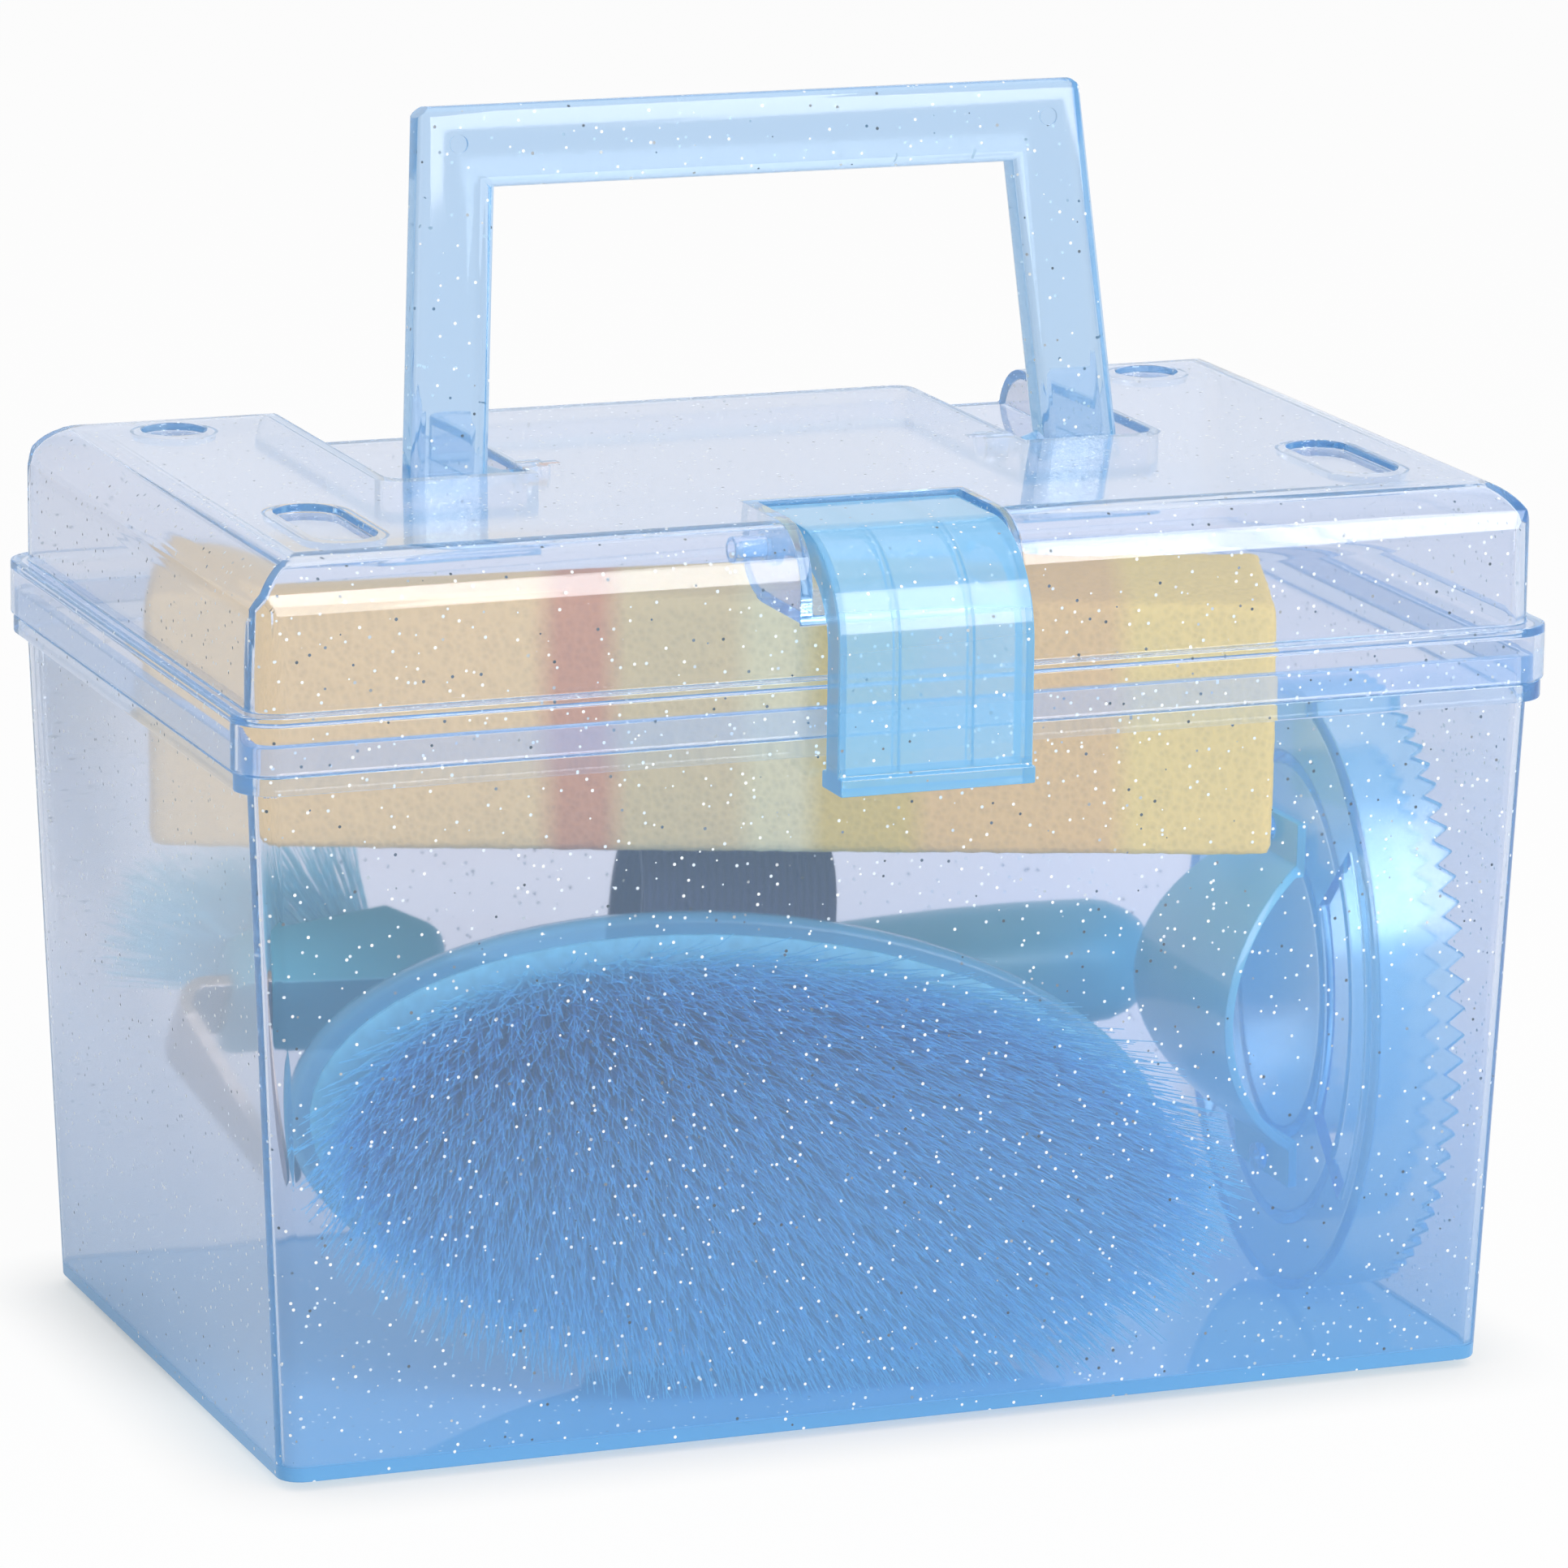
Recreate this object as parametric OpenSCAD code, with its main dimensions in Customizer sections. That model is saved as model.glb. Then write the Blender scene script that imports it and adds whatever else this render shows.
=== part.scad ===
// Horse grooming box: a tapered tub with a hinged lid, a fold-down carrying handle and a snap latch,
// holding a sponge, a body brush, a curry comb and a hoof pick.
// Millimetres, +Z up. The origin is on the table, under the middle of the box's outline.

/* [Tub] */
// Outer width of the tub just under its lip
tub_top_w = 243.8; // [236:0.2:256]
// Outer depth of the tub just under its lip
tub_top_d = 142.3; // [138:0.1:156]
// Taper of each end wall from lip to floor
tub_taper_x = 5.6; // [4:0.1:7]
// Taper of the front and of the back wall from lip to floor
tub_taper_y = 1.4; // [0.5:0.1:3]
// Radius of the tub's upright corners
tub_corner_r = 4.5; // [3:0.5:7]
// Height of the rim's top face above the table
rim_z = 130; // [126:1:140]
// Wall of the moulded shells
wall_t = 1.8; // [1.4:0.1:2.2]
// Thickness of the floor
floor_t = 2.2; // [1.6:0.1:3]
// How far the lip stands out from the wall
lip_out = 2.6; // [2:0.1:2.8]
// Height of the lip
lip_h = 3.4; // [2.5:0.1:5]
// Height of the rim that stands up inside the lid's skirt
upstand_h = 5; // [3:0.5:7]
// Radius of a stacking foot
foot_r = 5; // [4:0.5:6]
// Height of a stacking foot
foot_h = 1.5; // [1:0.1:2]
// Inset of the feet from the end walls, at the floor
foot_inset_x = 18.3; // [14:0.1:26]
// Inset of the feet from the front and back walls, at the floor
foot_inset_y = 17.75; // [16:0.05:24]

/* [Lid] */
// How far the lid's skirt stands out from the tub's wall
skirt_out = 3.1; // [2.9:0.1:4]
// Height of the skirt
skirt_h = 10.2; // [9:0.1:13]
// Step from the skirt in to the lid's wall
skirt_step = 3; // [2.6:0.1:3.4]
// Height of the lid's top face above the rim
lid_rise = 36.5; // [34:0.5:42]
// Radius of the lid's upright corners
lid_corner_r = 6; // [4:0.5:8]
// Radius of the lid's top edges
lid_edge_r = 11; // [8:0.5:12]
// Depth of the channel that the handle folds into
channel_deep = 8; // [7:0.5:9]
// Half width of the channel, over its outer walls
channel_half_w = 75; // [73:0.5:80]
// Half width of the island between the channel's arms
island_half_w = 49; // [46:0.5:49]
// Front wall of the channel, from the middle of the box
channel_front = 9.5; // [8:0.5:14]
// Length of the long stacking pockets
long_pocket = 32; // [24:1:34]

/* [Hinge] */
// Distance of each hinge from the middle
hinge_x = 72; // [50:1:90]
// Radius of the hinge knuckles
knuckle_r = 3; // [2.6:0.1:3.2]
// Width of the lid's knuckle
knuckle_w = 14; // [10:1:20]
// Width of a tub ear
ear_w = 5; // [4:0.5:8]
// Radius of the moulded hinge pins
hinge_pin_r = 1.5; // [1.2:0.1:1.8]

/* [Handle] */
// Outer width of the handle at its pivots
handle_base_w = 139.2; // [134:0.2:142]
// Outer width of the handle at its top
handle_top_w = 129.3; // [124:0.1:132]
// Width of the handle's bars, seen from the front
handle_bar = 15; // [12:0.5:16]
// Thickness of the handle, front to back
handle_t = 8; // [6:0.5:9]
// Radius of the handle's long edges
handle_edge_r = 2.4; // [1.5:0.1:2.8]
// Lean of the handle at rest, behind upright
handle_lean = 8.7; // [0:0.1:20]
// Pivot of the handle behind the middle of the box
handle_pivot_y = 3; // [0:0.5:5]
// Radius of the handle's pivot pins
handle_pin_r = 2; // [1.6:0.1:2.4]

/* [Latch] */
// Width of the latch
latch_w = 37; // [30:0.5:44]
// Thickness of the latch's plate
latch_t = 2; // [1.6:0.1:2.6]
// Radius of the latch's bend over the lid's edge
latch_bend_r = 20; // [17:0.5:22]
// Depth of the latch's side cheeks
latch_cheek = 6; // [5:0.2:6.5]
// Stand-off of the latch's plate in front of the skirt
latch_standoff = 7.75; // [7:0.05:9]
// How far the latch hangs below the rim
latch_drop = 8.8; // [8:0.1:12]
// Radius of the latch's pivot pins
latch_pin_r = 1.6; // [1.3:0.1:2]

/* [Sponge] */
// Gap between the sponge's right end and the comb's plate
sponge_end_gap = 2; // [1:0.5:20]
// Depth of the sponge
sponge_d = 48; // [40:1:50]
// Height of the sponge
sponge_h = 49; // [40:1:51]
// Gap between the sponge's left back corner and the back wall
sponge_back_gap = 12.1; // [8:0.1:16]
// Gap between the sponge's right front corner and the front wall
sponge_front_gap = 9.1; // [6:0.1:14]

/* [Body brush] */
// Gap between the brush's right end and the comb's strap
brush_end_gap = 11.9; // [8:0.1:25]
// Height of the brush's oval back
brush_h = 80; // [74:1:82]
// Thickness of the brush's back at its middle
brush_back_t = 13; // [11:0.5:15]
// Length of the bristles
brush_bristle_l = 27; // [22:1:29]
// Flare of the bristles from root to tip
brush_flare = 7; // [3:0.5:9]
// Number of strands
brush_strands = 330; // [200:10:400]
// Turn of the brush, right end towards the front
brush_turn = 8; // [5:0.5:9]
// Width of the hand strap
brush_strap_w = 37; // [30:1:42]
// Thickness of the hand strap
brush_strap_t = 2.2; // [1.6:0.1:2.6]

/* [Curry comb] */
// Length of the comb, upright in the box
comb_l = 116; // [106:1:118]
// Width of the comb
comb_w = 86; // [78:1:90]
// Thickness of the comb's plate
comb_plate_t = 2.2; // [1.8:0.1:3]
// Height of the rings of teeth above the plate
comb_ring_h = 17; // [14:0.5:18]
// Wall of a ring
comb_ring_t = 2; // [1.6:0.1:2.6]
// Height of a tooth
comb_tooth_h = 3.6; // [2:0.1:5]
// Width of the comb's strap
comb_strap_w = 24; // [18:1:28]
// Rise of the comb's strap off the plate
comb_strap_rise = 15; // [12:0.5:17]

/* [Hoof pick] */
// Radius of the grip's fat end
pick_grip_r = 12; // [10:0.2:12.4]
// Radius of the slim neck
pick_neck_r = 4.6; // [4:0.1:5.2]
// Gap between the bend of the pick's hook and the left end wall
pick_end_gap = 8.3; // [6:0.1:16]
// Length of the head
pick_head_l = 40; // [34:1:41]
// Height of the head
pick_head_h = 17; // [15:0.5:19]
// Width of the head
pick_head_w = 23; // [20:0.5:26]
// Rise of the head's bristles above their seat
pick_bristle_l = 21.5; // [16:0.5:22]
// Thickness of the steel hook
hook_t = 2.6; // [2:0.1:3.2]
// Width of the hook where it leaves the head
hook_w = 16; // [13:0.5:18]
// Length of the hook's point, from the bend
hook_l = 36; // [28:1:38]

/* [Hidden] */
$fn = 48;

// Fits and clearances
overrun = 1;
seat = 0.3;
touch_gap = 0.1;
part_gap = 0.3;
pin_play = 0.06;
side_play = 0.4;
skirt_play = 0.5;
latch_play = 0.8;
sweep_play = 0.6;
bite_gap = 0.4;
handle_play = 0.5;
channel_play = 2.8;
pocket_play = 1;
knuckle_play = 0.4;

// Tub
floor_z = foot_h + floor_t;
lip_z = rim_z - lip_h;
lip_w = tub_top_w + 2 * lip_out;
lip_d = tub_top_d + 2 * lip_out;
tub_base_w = tub_top_w - 2 * tub_taper_x;
tub_base_d = tub_top_d - 2 * tub_taper_y;
tub_h = lip_z - foot_h;
foot_x = tub_base_w / 2 - foot_inset_x;
foot_y = tub_base_d / 2 - foot_inset_y;
function wall_x(z) = tub_base_w / 2 + tub_taper_x * (z - foot_h) / tub_h - wall_t;
function wall_y(z) = tub_base_d / 2 + tub_taper_y * (z - foot_h) / tub_h - wall_t;

// Lid
skirt_w = tub_top_w + 2 * skirt_out;
skirt_d = tub_top_d + 2 * skirt_out;
skirt_z = rim_z + part_gap;
ledge_z = skirt_z + skirt_h;
lid_w = skirt_w - 2 * skirt_step;
lid_d = skirt_d - 2 * skirt_step;
lid_z = rim_z + lid_rise;
skirt_in_w = skirt_w - 2 * wall_t;
skirt_in_d = skirt_d - 2 * wall_t;
upstand_w = skirt_in_w - 2 * skirt_play;
upstand_d = skirt_in_d - 2 * skirt_play;
channel_z = lid_z - channel_deep;
channel_corner_r = 4;
pocket_r = foot_r + pocket_play;
pocket_deep = foot_h + pin_play;
boss_r = 3.6;
boss_l = 4.4;

// Hinge
hinge_y = skirt_d / 2 + knuckle_r + knuckle_play;
hinge_z = rim_z;
ear_x = knuckle_w / 2 + side_play;

// Handle, drawn upright with its pivot at the origin
handle_end_step = 0.3;
handle_end_r = handle_t / 2 + handle_end_step;
handle_pivot_z = channel_z + handle_end_r + handle_play;
handle_reach = lid_d / 2 - handle_pivot_y;
handle_lap = (handle_base_w - handle_top_w) / 2;
handle_slant = atan(handle_lap / handle_reach);
handle_chamfer = 2;
mitre_share = 0.5;
handle_corner = [handle_top_w / 2, handle_reach];
handle_inner = [handle_top_w / 2 + handle_lap * handle_bar / handle_reach - handle_bar / cos(handle_slant),
    handle_reach - handle_bar];
mitre_low = handle_inner - mitre_share * (handle_corner - handle_inner);
mitre_high = handle_corner + mitre_share * (handle_corner - handle_inner);
mitre_lap = 0.2;
island_back = handle_pivot_y + handle_reach - handle_bar - channel_play;
handle_collar_r = 3.6;
handle_collar_l = 3.4;
dimple_r = 1.7;
dimple_deep = 0.6;
dimple_in = 7;
dimple_z = handle_reach - dimple_in;

// Latch, drawn in the depth and height of the box: a runs to the front, z up
latch_front = skirt_d / 2 + latch_standoff;
latch_top = lid_z - latch_play;
latch_foot_z = rim_z - latch_drop;
latch_pivot_in = 21.25;
latch_pivot_low = 5.7;
latch_tail = 5.6;
latch_pivot_a = lid_d / 2 - latch_pivot_in;
latch_pivot_z = latch_top - latch_pivot_low;
latch_rear_a = latch_pivot_a - latch_tail;
latch_sweep_r = norm([latch_tail, latch_pivot_low]) + sweep_play;
latch_pocket_w = latch_w + 2 * latch_play;
latch_bar_h = 3.2;
latch_bar_out = 1.5;
latch_rib_t = 1.2;
latch_rib_deep = 3.4;
latch_rib_x = 7;
latch_eye_r = 3.6;
latch_boss_r = 2.8;
latch_boss_l = 6;
latch_cheek_t = 1.8;

// Middle of the outline, between the latch's foot and the hinge's knuckles
front_reach = latch_front + latch_bar_out;
back_reach = hinge_y + knuckle_r;
centre_y = (front_reach - back_reach) / 2;

// Curry comb: its plate stands upright, teeth to the right wall
comb_a = comb_w / 2;
comb_b = comb_l / 2;
comb_z = floor_z + seat + comb_b;
comb_x = wall_x(floor_z) - side_play - comb_ring_h - comb_plate_t;
comb_gap = 4.95;
comb_y = comb_gap - wall_y(floor_z) + comb_a;
comb_edge_r = 0.6;
comb_ring_shares = [[1, 1, 72], [0.74, 0.78, 54], [0.46, 0.5, 36]];
comb_opening_shares = [[0.9, 0.92], [0.52, 0.6]];
comb_opening_angle = 48;
comb_strap_t = 1.8;
comb_strap_half = 29;
comb_foot_l = 6;
stud_r = 2.6;
stud_t = 1.6;

// Fixings of both straps
shank_r = 1.4;

// Body brush: it leans back on its bristles against the front wall, one end turned to the front
brush_b = brush_h / 2;
brush_gap = 4.5;
brush_room = comb_x - comb_strap_rise - touch_gap - brush_end_gap + wall_x(floor_z) - brush_gap;
brush_a = (brush_room - brush_flare - (brush_bristle_l + brush_back_t) * sin(brush_turn)) / 2;
brush_roll = 6;
brush_tilt = 5;
brush_edge_r = 3.5;
brush_slice_t = 1.6;
brush_root_share = 0.9;
brush_strand_r = 1.1;
brush_tip_r = 0.5;
bristle_root = 0.6;
golden_turn = 137.508;
tip_a = brush_a + brush_flare;
tip_b = brush_b + brush_flare / 2;
tip_low = norm([tip_a * sin(brush_roll), tip_b * cos(brush_roll)]) * cos(brush_tilt)
    - brush_bristle_l * sin(brush_tilt);
rim_low = norm([brush_a * sin(brush_roll), brush_b * cos(brush_roll)]) * cos(brush_tilt)
    + 2 * brush_edge_r * sin(brush_tilt);
brush_z = floor_z + seat + max(tip_low, rim_low);
brush_x = brush_gap - wall_x(floor_z) + tip_a + brush_bristle_l * sin(brush_turn);
tip_front = norm([tip_a * (cos(brush_roll) * sin(brush_turn) + sin(brush_roll) * sin(brush_tilt)),
    tip_b * cos(brush_roll) * sin(brush_tilt)]);
brush_y = side_play - wall_y(brush_z - brush_b) + tip_front
    + brush_bristle_l * cos(brush_tilt) * cos(brush_turn);
strap_loop_r = 15.5;
strap_top = 36;
strap_low = -4;
strap_end = strap_low - 2 * strap_loop_r;
strap_tab = 12;
rivet_r = 3;
rivet_t = 1.2;
rivet_x = 10;
rivet_grip = 3;

// Sponge: it lies corner to corner in its room, on the crest of the brush's strap and on the pick's bristles
strap_crest = (strap_top * cos(brush_roll) + brush_strap_w / 2 * sin(brush_roll)) * cos(brush_tilt)
    - (brush_back_t + strap_loop_r) * sin(brush_tilt) + strap_loop_r;
sponge_z = brush_z + strap_crest + seat;
sponge_edge_r = 2.5;
sponge_gap = 2.7;
sponge_corner_x = sponge_gap - wall_x(sponge_z);
sponge_room_x = comb_x - sponge_end_gap - sponge_corner_x;
sponge_room_y = 2 * wall_y(sponge_z) - sponge_back_gap - sponge_front_gap;
function sponge_lean(t, steps) = steps == 0 ? t
    : sponge_lean(asin((sponge_room_y * cos(t) - sponge_d * cos(2 * t)) / sponge_room_x), steps - 1);
sponge_turn = sponge_lean(0, 12);
sponge_l = (sponge_room_x - sponge_d * sin(sponge_turn)) / cos(sponge_turn);
sponge_corner_y = wall_y(sponge_z) - sponge_back_gap - sponge_d * cos(sponge_turn);
comb_strap_shift = sponge_z - seat - comb_z - comb_strap_half - comb_foot_l;

// Hoof pick: its axis runs from the fat end, against the comb, to the head near the left end wall
pick_yaw = 2;
pick_pitch = 2.2;
pick_roll = 41;
pick_nose = 14;
head_shares = [[0, -0.28], [0, 0.28], [0.27, 0.64], [1, 0.3], [1, -0.36], [0.24, -0.36]];
head_peak = [head_shares[2][0] * pick_head_l, head_shares[2][1] * pick_head_h];
head_end = [head_shares[3][0] * pick_head_l, head_shares[3][1] * pick_head_h];
pad_seat_l = norm(head_end - head_peak);
pad_slope = atan((head_peak[1] - head_end[1]) / (head_end[0] - head_peak[0]));
head_corner_r = 4;
hook_root = 12;
hook_run = 5;
hook_bend_r = 5;
hook_turn = 114;
hook_tip_w = 7;
hook_level = -2.6;
pick_strand_r = 0.75;
pick_tip_r = 0.4;
pick_strand_rows = 5;
pick_strand_columns = 11;
pick_bristle_share = 0.86;
pick_bristle_margin = 2.6;
pick_bristle_fan = 1.28;
pick_slice_t = 1.4;
pick_sweep_left = 6;
pick_sweep_back = 9.5;
pick_gap = 5;
pick_x = comb_x - pick_gap;
pick_room = pick_x + wall_x(floor_z) - pick_end_gap;
pick_shank_l = pick_room - pick_head_l - hook_run - hook_bend_r - hook_t / 2;
pick_end_x = -pick_shank_l - pick_head_l;
pick_grip_share = 0.925;
pick_grip_l = pick_grip_share * pick_shank_l;
pick_drop = 40;
pick_z = sponge_z - pick_drop;
pick_back_gap = 36.6;
pick_y = wall_y(pick_z) - pick_back_gap - pick_shank_l * sin(pick_yaw);

// Colours of the moulded plastics and of the soft pieces
tub_colour = [0.62, 0.78, 0.95, 0.45];
latch_colour = [0.5, 0.75, 0.93, 0.6];
foam_colour = [0.93, 0.78, 0.42];
clear_blue = [0.45, 0.72, 0.9, 0.7];
bristle_blue = [0.36, 0.58, 0.82];
strap_navy = [0.17, 0.16, 0.27];
teal = [0.3, 0.53, 0.6];
steel = [0.78, 0.74, 0.74];
pale_bristle = [0.55, 0.72, 0.85];

// Moves a piece from the box's own middle to the middle of the whole outline
module place() {
    translate([0, centre_y, 0]) children();
}

// Plan outline with round corners
module round_rect(w, d, r) {
    square([w - 2 * r, d], center = true);
    square([w, d - 2 * r], center = true);
    for (x = [-1, 1], y = [-1, 1]) {
        translate([x * (w / 2 - r), y * (d / 2 - r)]) circle(r);
    }
}

module round_slab(w, d, r, z0, z1) {
    translate([0, 0, z0]) linear_extrude(z1 - z0) round_rect(w, d, r);
}

// Outline with a flat foot and two round top corners
module arch_rect(w, h, r) {
    translate([-w / 2, 0]) square([w, h - r]);
    translate([r - w / 2, 0]) square([w - 2 * r, h]);
    for (x = [-1, 1]) {
        translate([x * (w / 2 - r), h - r]) circle(r);
    }
}

// Box whose upright corners and top edges are all round
module domed_box(w, d, corner_r, edge_r, z0, z1) {
    intersection() {
        round_slab(w, d, corner_r, z0, z1);
        translate([0, d / 2, z0]) rotate([90, 0, 0]) linear_extrude(d) arch_rect(w, z1 - z0, edge_r);
        translate([-w / 2, 0, z0]) rotate([90, 0, 90]) linear_extrude(w) arch_rect(d, z1 - z0, edge_r);
    }
}

// Bar along X
module rod_x(x0, x1, r) {
    translate([x0, 0, 0]) rotate([0, 90, 0]) cylinder(h = x1 - x0, r = r);
}

// Slab cut from a drawing in the depth and height of the box, from x0 to x1
module side_slab(x0, x1) {
    translate([x0, 0, 0]) rotate([90, 0, 90]) linear_extrude(x1 - x0) children();
}

// Solid through a row of ovals, each given as [inset, height]
module oval_loft(a, b, levels, sides = 64) {
    count = len(levels);
    points = [for (level = levels, i = [0 : sides - 1])
        let (t = 360 * i / sides)
        [(a - level[0]) * cos(t), (b - level[0]) * sin(t), level[1]]];
    hubs = [[0, 0, levels[0][1]], [0, 0, levels[count - 1][1]]];
    low_hub = count * sides;
    high_hub = low_hub + 1;
    last = (count - 1) * sides;
    skin = [for (k = [0 : count - 2], i = [0 : sides - 1])
        let (j = (i + 1) % sides, p = k * sides, q = p + sides)
        each [[p + i, q + i, q + j], [p + i, q + j, p + j]]];
    ends = [for (i = [0 : sides - 1])
        let (j = (i + 1) % sides)
        each [[low_hub, i, j], [high_hub, last + j, last + i]]];
    polyhedron(points = concat(points, hubs), faces = concat(skin, ends));
}

// Oval wall whose free edge is a wave of teeth
module toothed_ring(a, b, t, h, teeth) {
    steps = 4 * teeth;
    points = [for (i = [0 : steps - 1])
        let (turn = 360 * i / steps, c = cos(turn), s = sin(turn))
        let (crest = h - comb_tooth_h * (1 - cos(teeth * turn)) / 2)
        each [[a * c, b * s, 0], [a * c, b * s, crest],
            [(a - t) * c, (b - t) * s, crest], [(a - t) * c, (b - t) * s, 0]]];
    faces = [for (i = [0 : steps - 1], k = [0 : 3])
        let (p = 4 * i, q = 4 * ((i + 1) % steps), m = (k + 1) % 4)
        each [[p + k, p + m, q + m], [p + k, q + m, q + k]]];
    polyhedron(points = points, faces = faces);
}

// One bristle: a slim three-sided spike from root to tip
module strand(root, tip, root_r, tip_r) {
    turns = [0, 120, 240];
    points = concat([for (t = turns) root + root_r * [cos(t), sin(t), 0]],
        [for (t = turns) tip + tip_r * [cos(t), sin(t), 0]]);
    polyhedron(points = points, faces = [[0, 1, 2], [3, 5, 4],
        [0, 3, 4], [0, 4, 1], [1, 4, 5], [1, 5, 2], [2, 5, 3], [2, 3, 0]]);
}

// Tapered solid of the tub between two plan sizes
module tub_loft(w0, d0, z0, w1, d1, z1, r) {
    hull() {
        round_slab(w0, d0, r, z0, z0 + overrun, $fn = 32);
        round_slab(w1, d1, r, z1 - overrun, z1, $fn = 32);
    }
}

// Tub ears, drawn about the hinge axis: a barrel and the web that joins it to the lip
module ear_outline() {
    circle(knuckle_r);
    translate([-hinge_y + lip_d / 2 - overrun, -knuckle_r]) {
        square([hinge_y - lip_d / 2 + overrun, knuckle_r]);
    }
}

module box_body() {
    color(tub_colour) place() difference() {
        union() {
            tub_loft(tub_base_w, tub_base_d, foot_h, tub_top_w, tub_top_d, lip_z + overrun, tub_corner_r);
            round_slab(lip_w, lip_d, tub_corner_r + lip_out, lip_z, rim_z);
            round_slab(upstand_w, upstand_d, tub_corner_r, lip_z, rim_z + upstand_h);
            for (x = [-1, 1], y = [-1, 1]) {
                translate([x * foot_x, y * foot_y, 0]) cylinder(h = foot_h + overrun, r = foot_r);
            }
            for (h = [-1, 1], side = [-1, 1]) {
                translate([h * hinge_x + side * (ear_x + ear_w / 2), hinge_y, hinge_z]) {
                    side_slab(-ear_w / 2, ear_w / 2) ear_outline();
                }
            }
        }
        tub_loft(2 * wall_x(floor_z), 2 * wall_y(floor_z), floor_z,
            2 * wall_x(lip_z), 2 * wall_y(lip_z), lip_z, tub_corner_r - wall_t);
        round_slab(2 * wall_x(lip_z), 2 * wall_y(lip_z), tub_corner_r - wall_t,
            lip_z - overrun, rim_z + upstand_h + overrun);
        for (h = [-1, 1]) {
            translate([h * hinge_x, hinge_y, hinge_z]) {
                rod_x(-ear_x - ear_w - overrun, ear_x + ear_w + overrun, hinge_pin_r + pin_play);
            }
        }
    }
}

// The U-shaped channel, grown by a margin on its walls and floor
module handle_channel(grow) {
    depth = channel_front + lid_d;
    island_l = channel_front + island_back;
    translate([0, 0, channel_z - grow]) linear_extrude(channel_deep + grow + overrun) difference() {
        translate([0, lid_d / 2]) {
            round_rect(2 * (channel_half_w + grow), depth + 2 * grow, channel_corner_r + grow);
        }
        translate([0, island_back - island_l / 2 - lid_edge_r / 2]) {
            round_rect(2 * (island_half_w - grow), island_l + lid_edge_r - 2 * grow, channel_corner_r - grow);
        }
        translate([0, -channel_front]) {
            square([2 * (island_half_w - grow), 2 * channel_front], center = true);
        }
    }
}

// The pocket that the latch swings in: a trough about its pivot, open to the front
module latch_pocket(grow) {
    half = latch_pocket_w / 2 + grow;
    side_slab(-half, half) {
        translate([-latch_pivot_a, latch_pivot_z]) circle(latch_sweep_r + grow);
        translate([-lid_d, latch_pivot_z - latch_sweep_r - grow]) {
            square([lid_d - latch_pivot_a, lid_z - latch_pivot_z + latch_sweep_r + grow + overrun]);
        }
        translate([-latch_pivot_a - latch_sweep_r / 2, latch_pivot_z]) {
            square([latch_sweep_r / 2 + latch_tail + sweep_play, lid_z]);
        }
    }
}

// The pockets in the lid that the feet of a second box stand in
module stack_pockets(grow) {
    long_y = -foot_y + pocket_r - pocket_play;
    for (x = [-1, 1]) translate([x * foot_x, 0, lid_z - pocket_deep - grow]) {
        linear_extrude(pocket_deep + grow + overrun) {
            translate([0, foot_y]) circle(pocket_r + grow);
            translate([0, long_y]) circle(pocket_r + grow);
            translate([0, long_y + long_pocket / 2 - pocket_r]) {
                square([2 * (pocket_r + grow), long_pocket - 2 * pocket_r], center = true);
            }
            translate([0, long_y + long_pocket - 2 * pocket_r]) circle(pocket_r + grow);
        }
    }
}

module pivot_bosses(r, handle_l, latch_l) {
    for (x = [-1, 1]) {
        translate([x * (island_half_w - handle_l / 2), handle_pivot_y, handle_pivot_z]) {
            rod_x(-handle_l / 2, handle_l / 2, r[0]);
        }
        translate([x * (latch_pocket_w / 2 + latch_l / 2), -latch_pivot_a, latch_pivot_z]) {
            rod_x(-latch_l / 2, latch_l / 2, r[1]);
        }
    }
}

// What is hollow inside the lid: the room above the ledge, less the walls of everything sunk into its top
module lid_hollow() {
    difference() {
        union() {
            round_slab(skirt_in_w, skirt_in_d, tub_corner_r + skirt_out - wall_t,
                skirt_z - overrun, ledge_z - wall_t);
            domed_box(lid_w - 2 * wall_t, lid_d - 2 * wall_t, lid_corner_r - wall_t, lid_edge_r - wall_t,
                skirt_z - overrun, lid_z - wall_t);
        }
        handle_channel(wall_t);
        latch_pocket(wall_t);
        stack_pockets(wall_t);
        pivot_bosses([boss_r, latch_boss_r], boss_l + wall_t, latch_boss_l + wall_t);
    }
}

// The lid's knuckles, each with a moulded pin that runs in the tub's ears
module lid_knuckles() {
    for (h = [-1, 1]) translate([h * hinge_x, hinge_y, hinge_z]) {
        side_slab(-knuckle_w / 2, knuckle_w / 2) {
            circle(knuckle_r);
            translate([skirt_d / 2 - hinge_y - wall_t / 2, part_gap]) {
                square([hinge_y - skirt_d / 2 + wall_t / 2, knuckle_r - part_gap]);
            }
        }
        rod_x(-ear_x - ear_w + side_play, ear_x + ear_w - side_play, hinge_pin_r);
    }
}

module lid() {
    color(tub_colour) place() {
        difference() {
            union() {
                round_slab(skirt_w, skirt_d, tub_corner_r + skirt_out, skirt_z, ledge_z);
                domed_box(lid_w, lid_d, lid_corner_r, lid_edge_r, skirt_z, lid_z);
            }
            handle_channel(0);
            latch_pocket(0);
            stack_pockets(0);
            lid_hollow();
            pivot_bosses([handle_pin_r + pin_play, latch_pin_r + pin_play],
                2 * boss_l, latch_boss_l + wall_t + overrun);
        }
        lid_knuckles();
    }
}

module front_slab(t) {
    translate([0, t / 2, 0]) rotate([90, 0, 0]) linear_extrude(t) children();
}

// The outer corner's waste, outside its chamfer
module handle_corner_waste() {
    front_slab(2 * handle_t) polygon([handle_corner - [handle_chamfer, 0],
        handle_corner + [handle_chamfer, handle_chamfer],
        handle_corner + handle_chamfer * [sin(handle_slant), -cos(handle_slant)]]);
}

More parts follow.
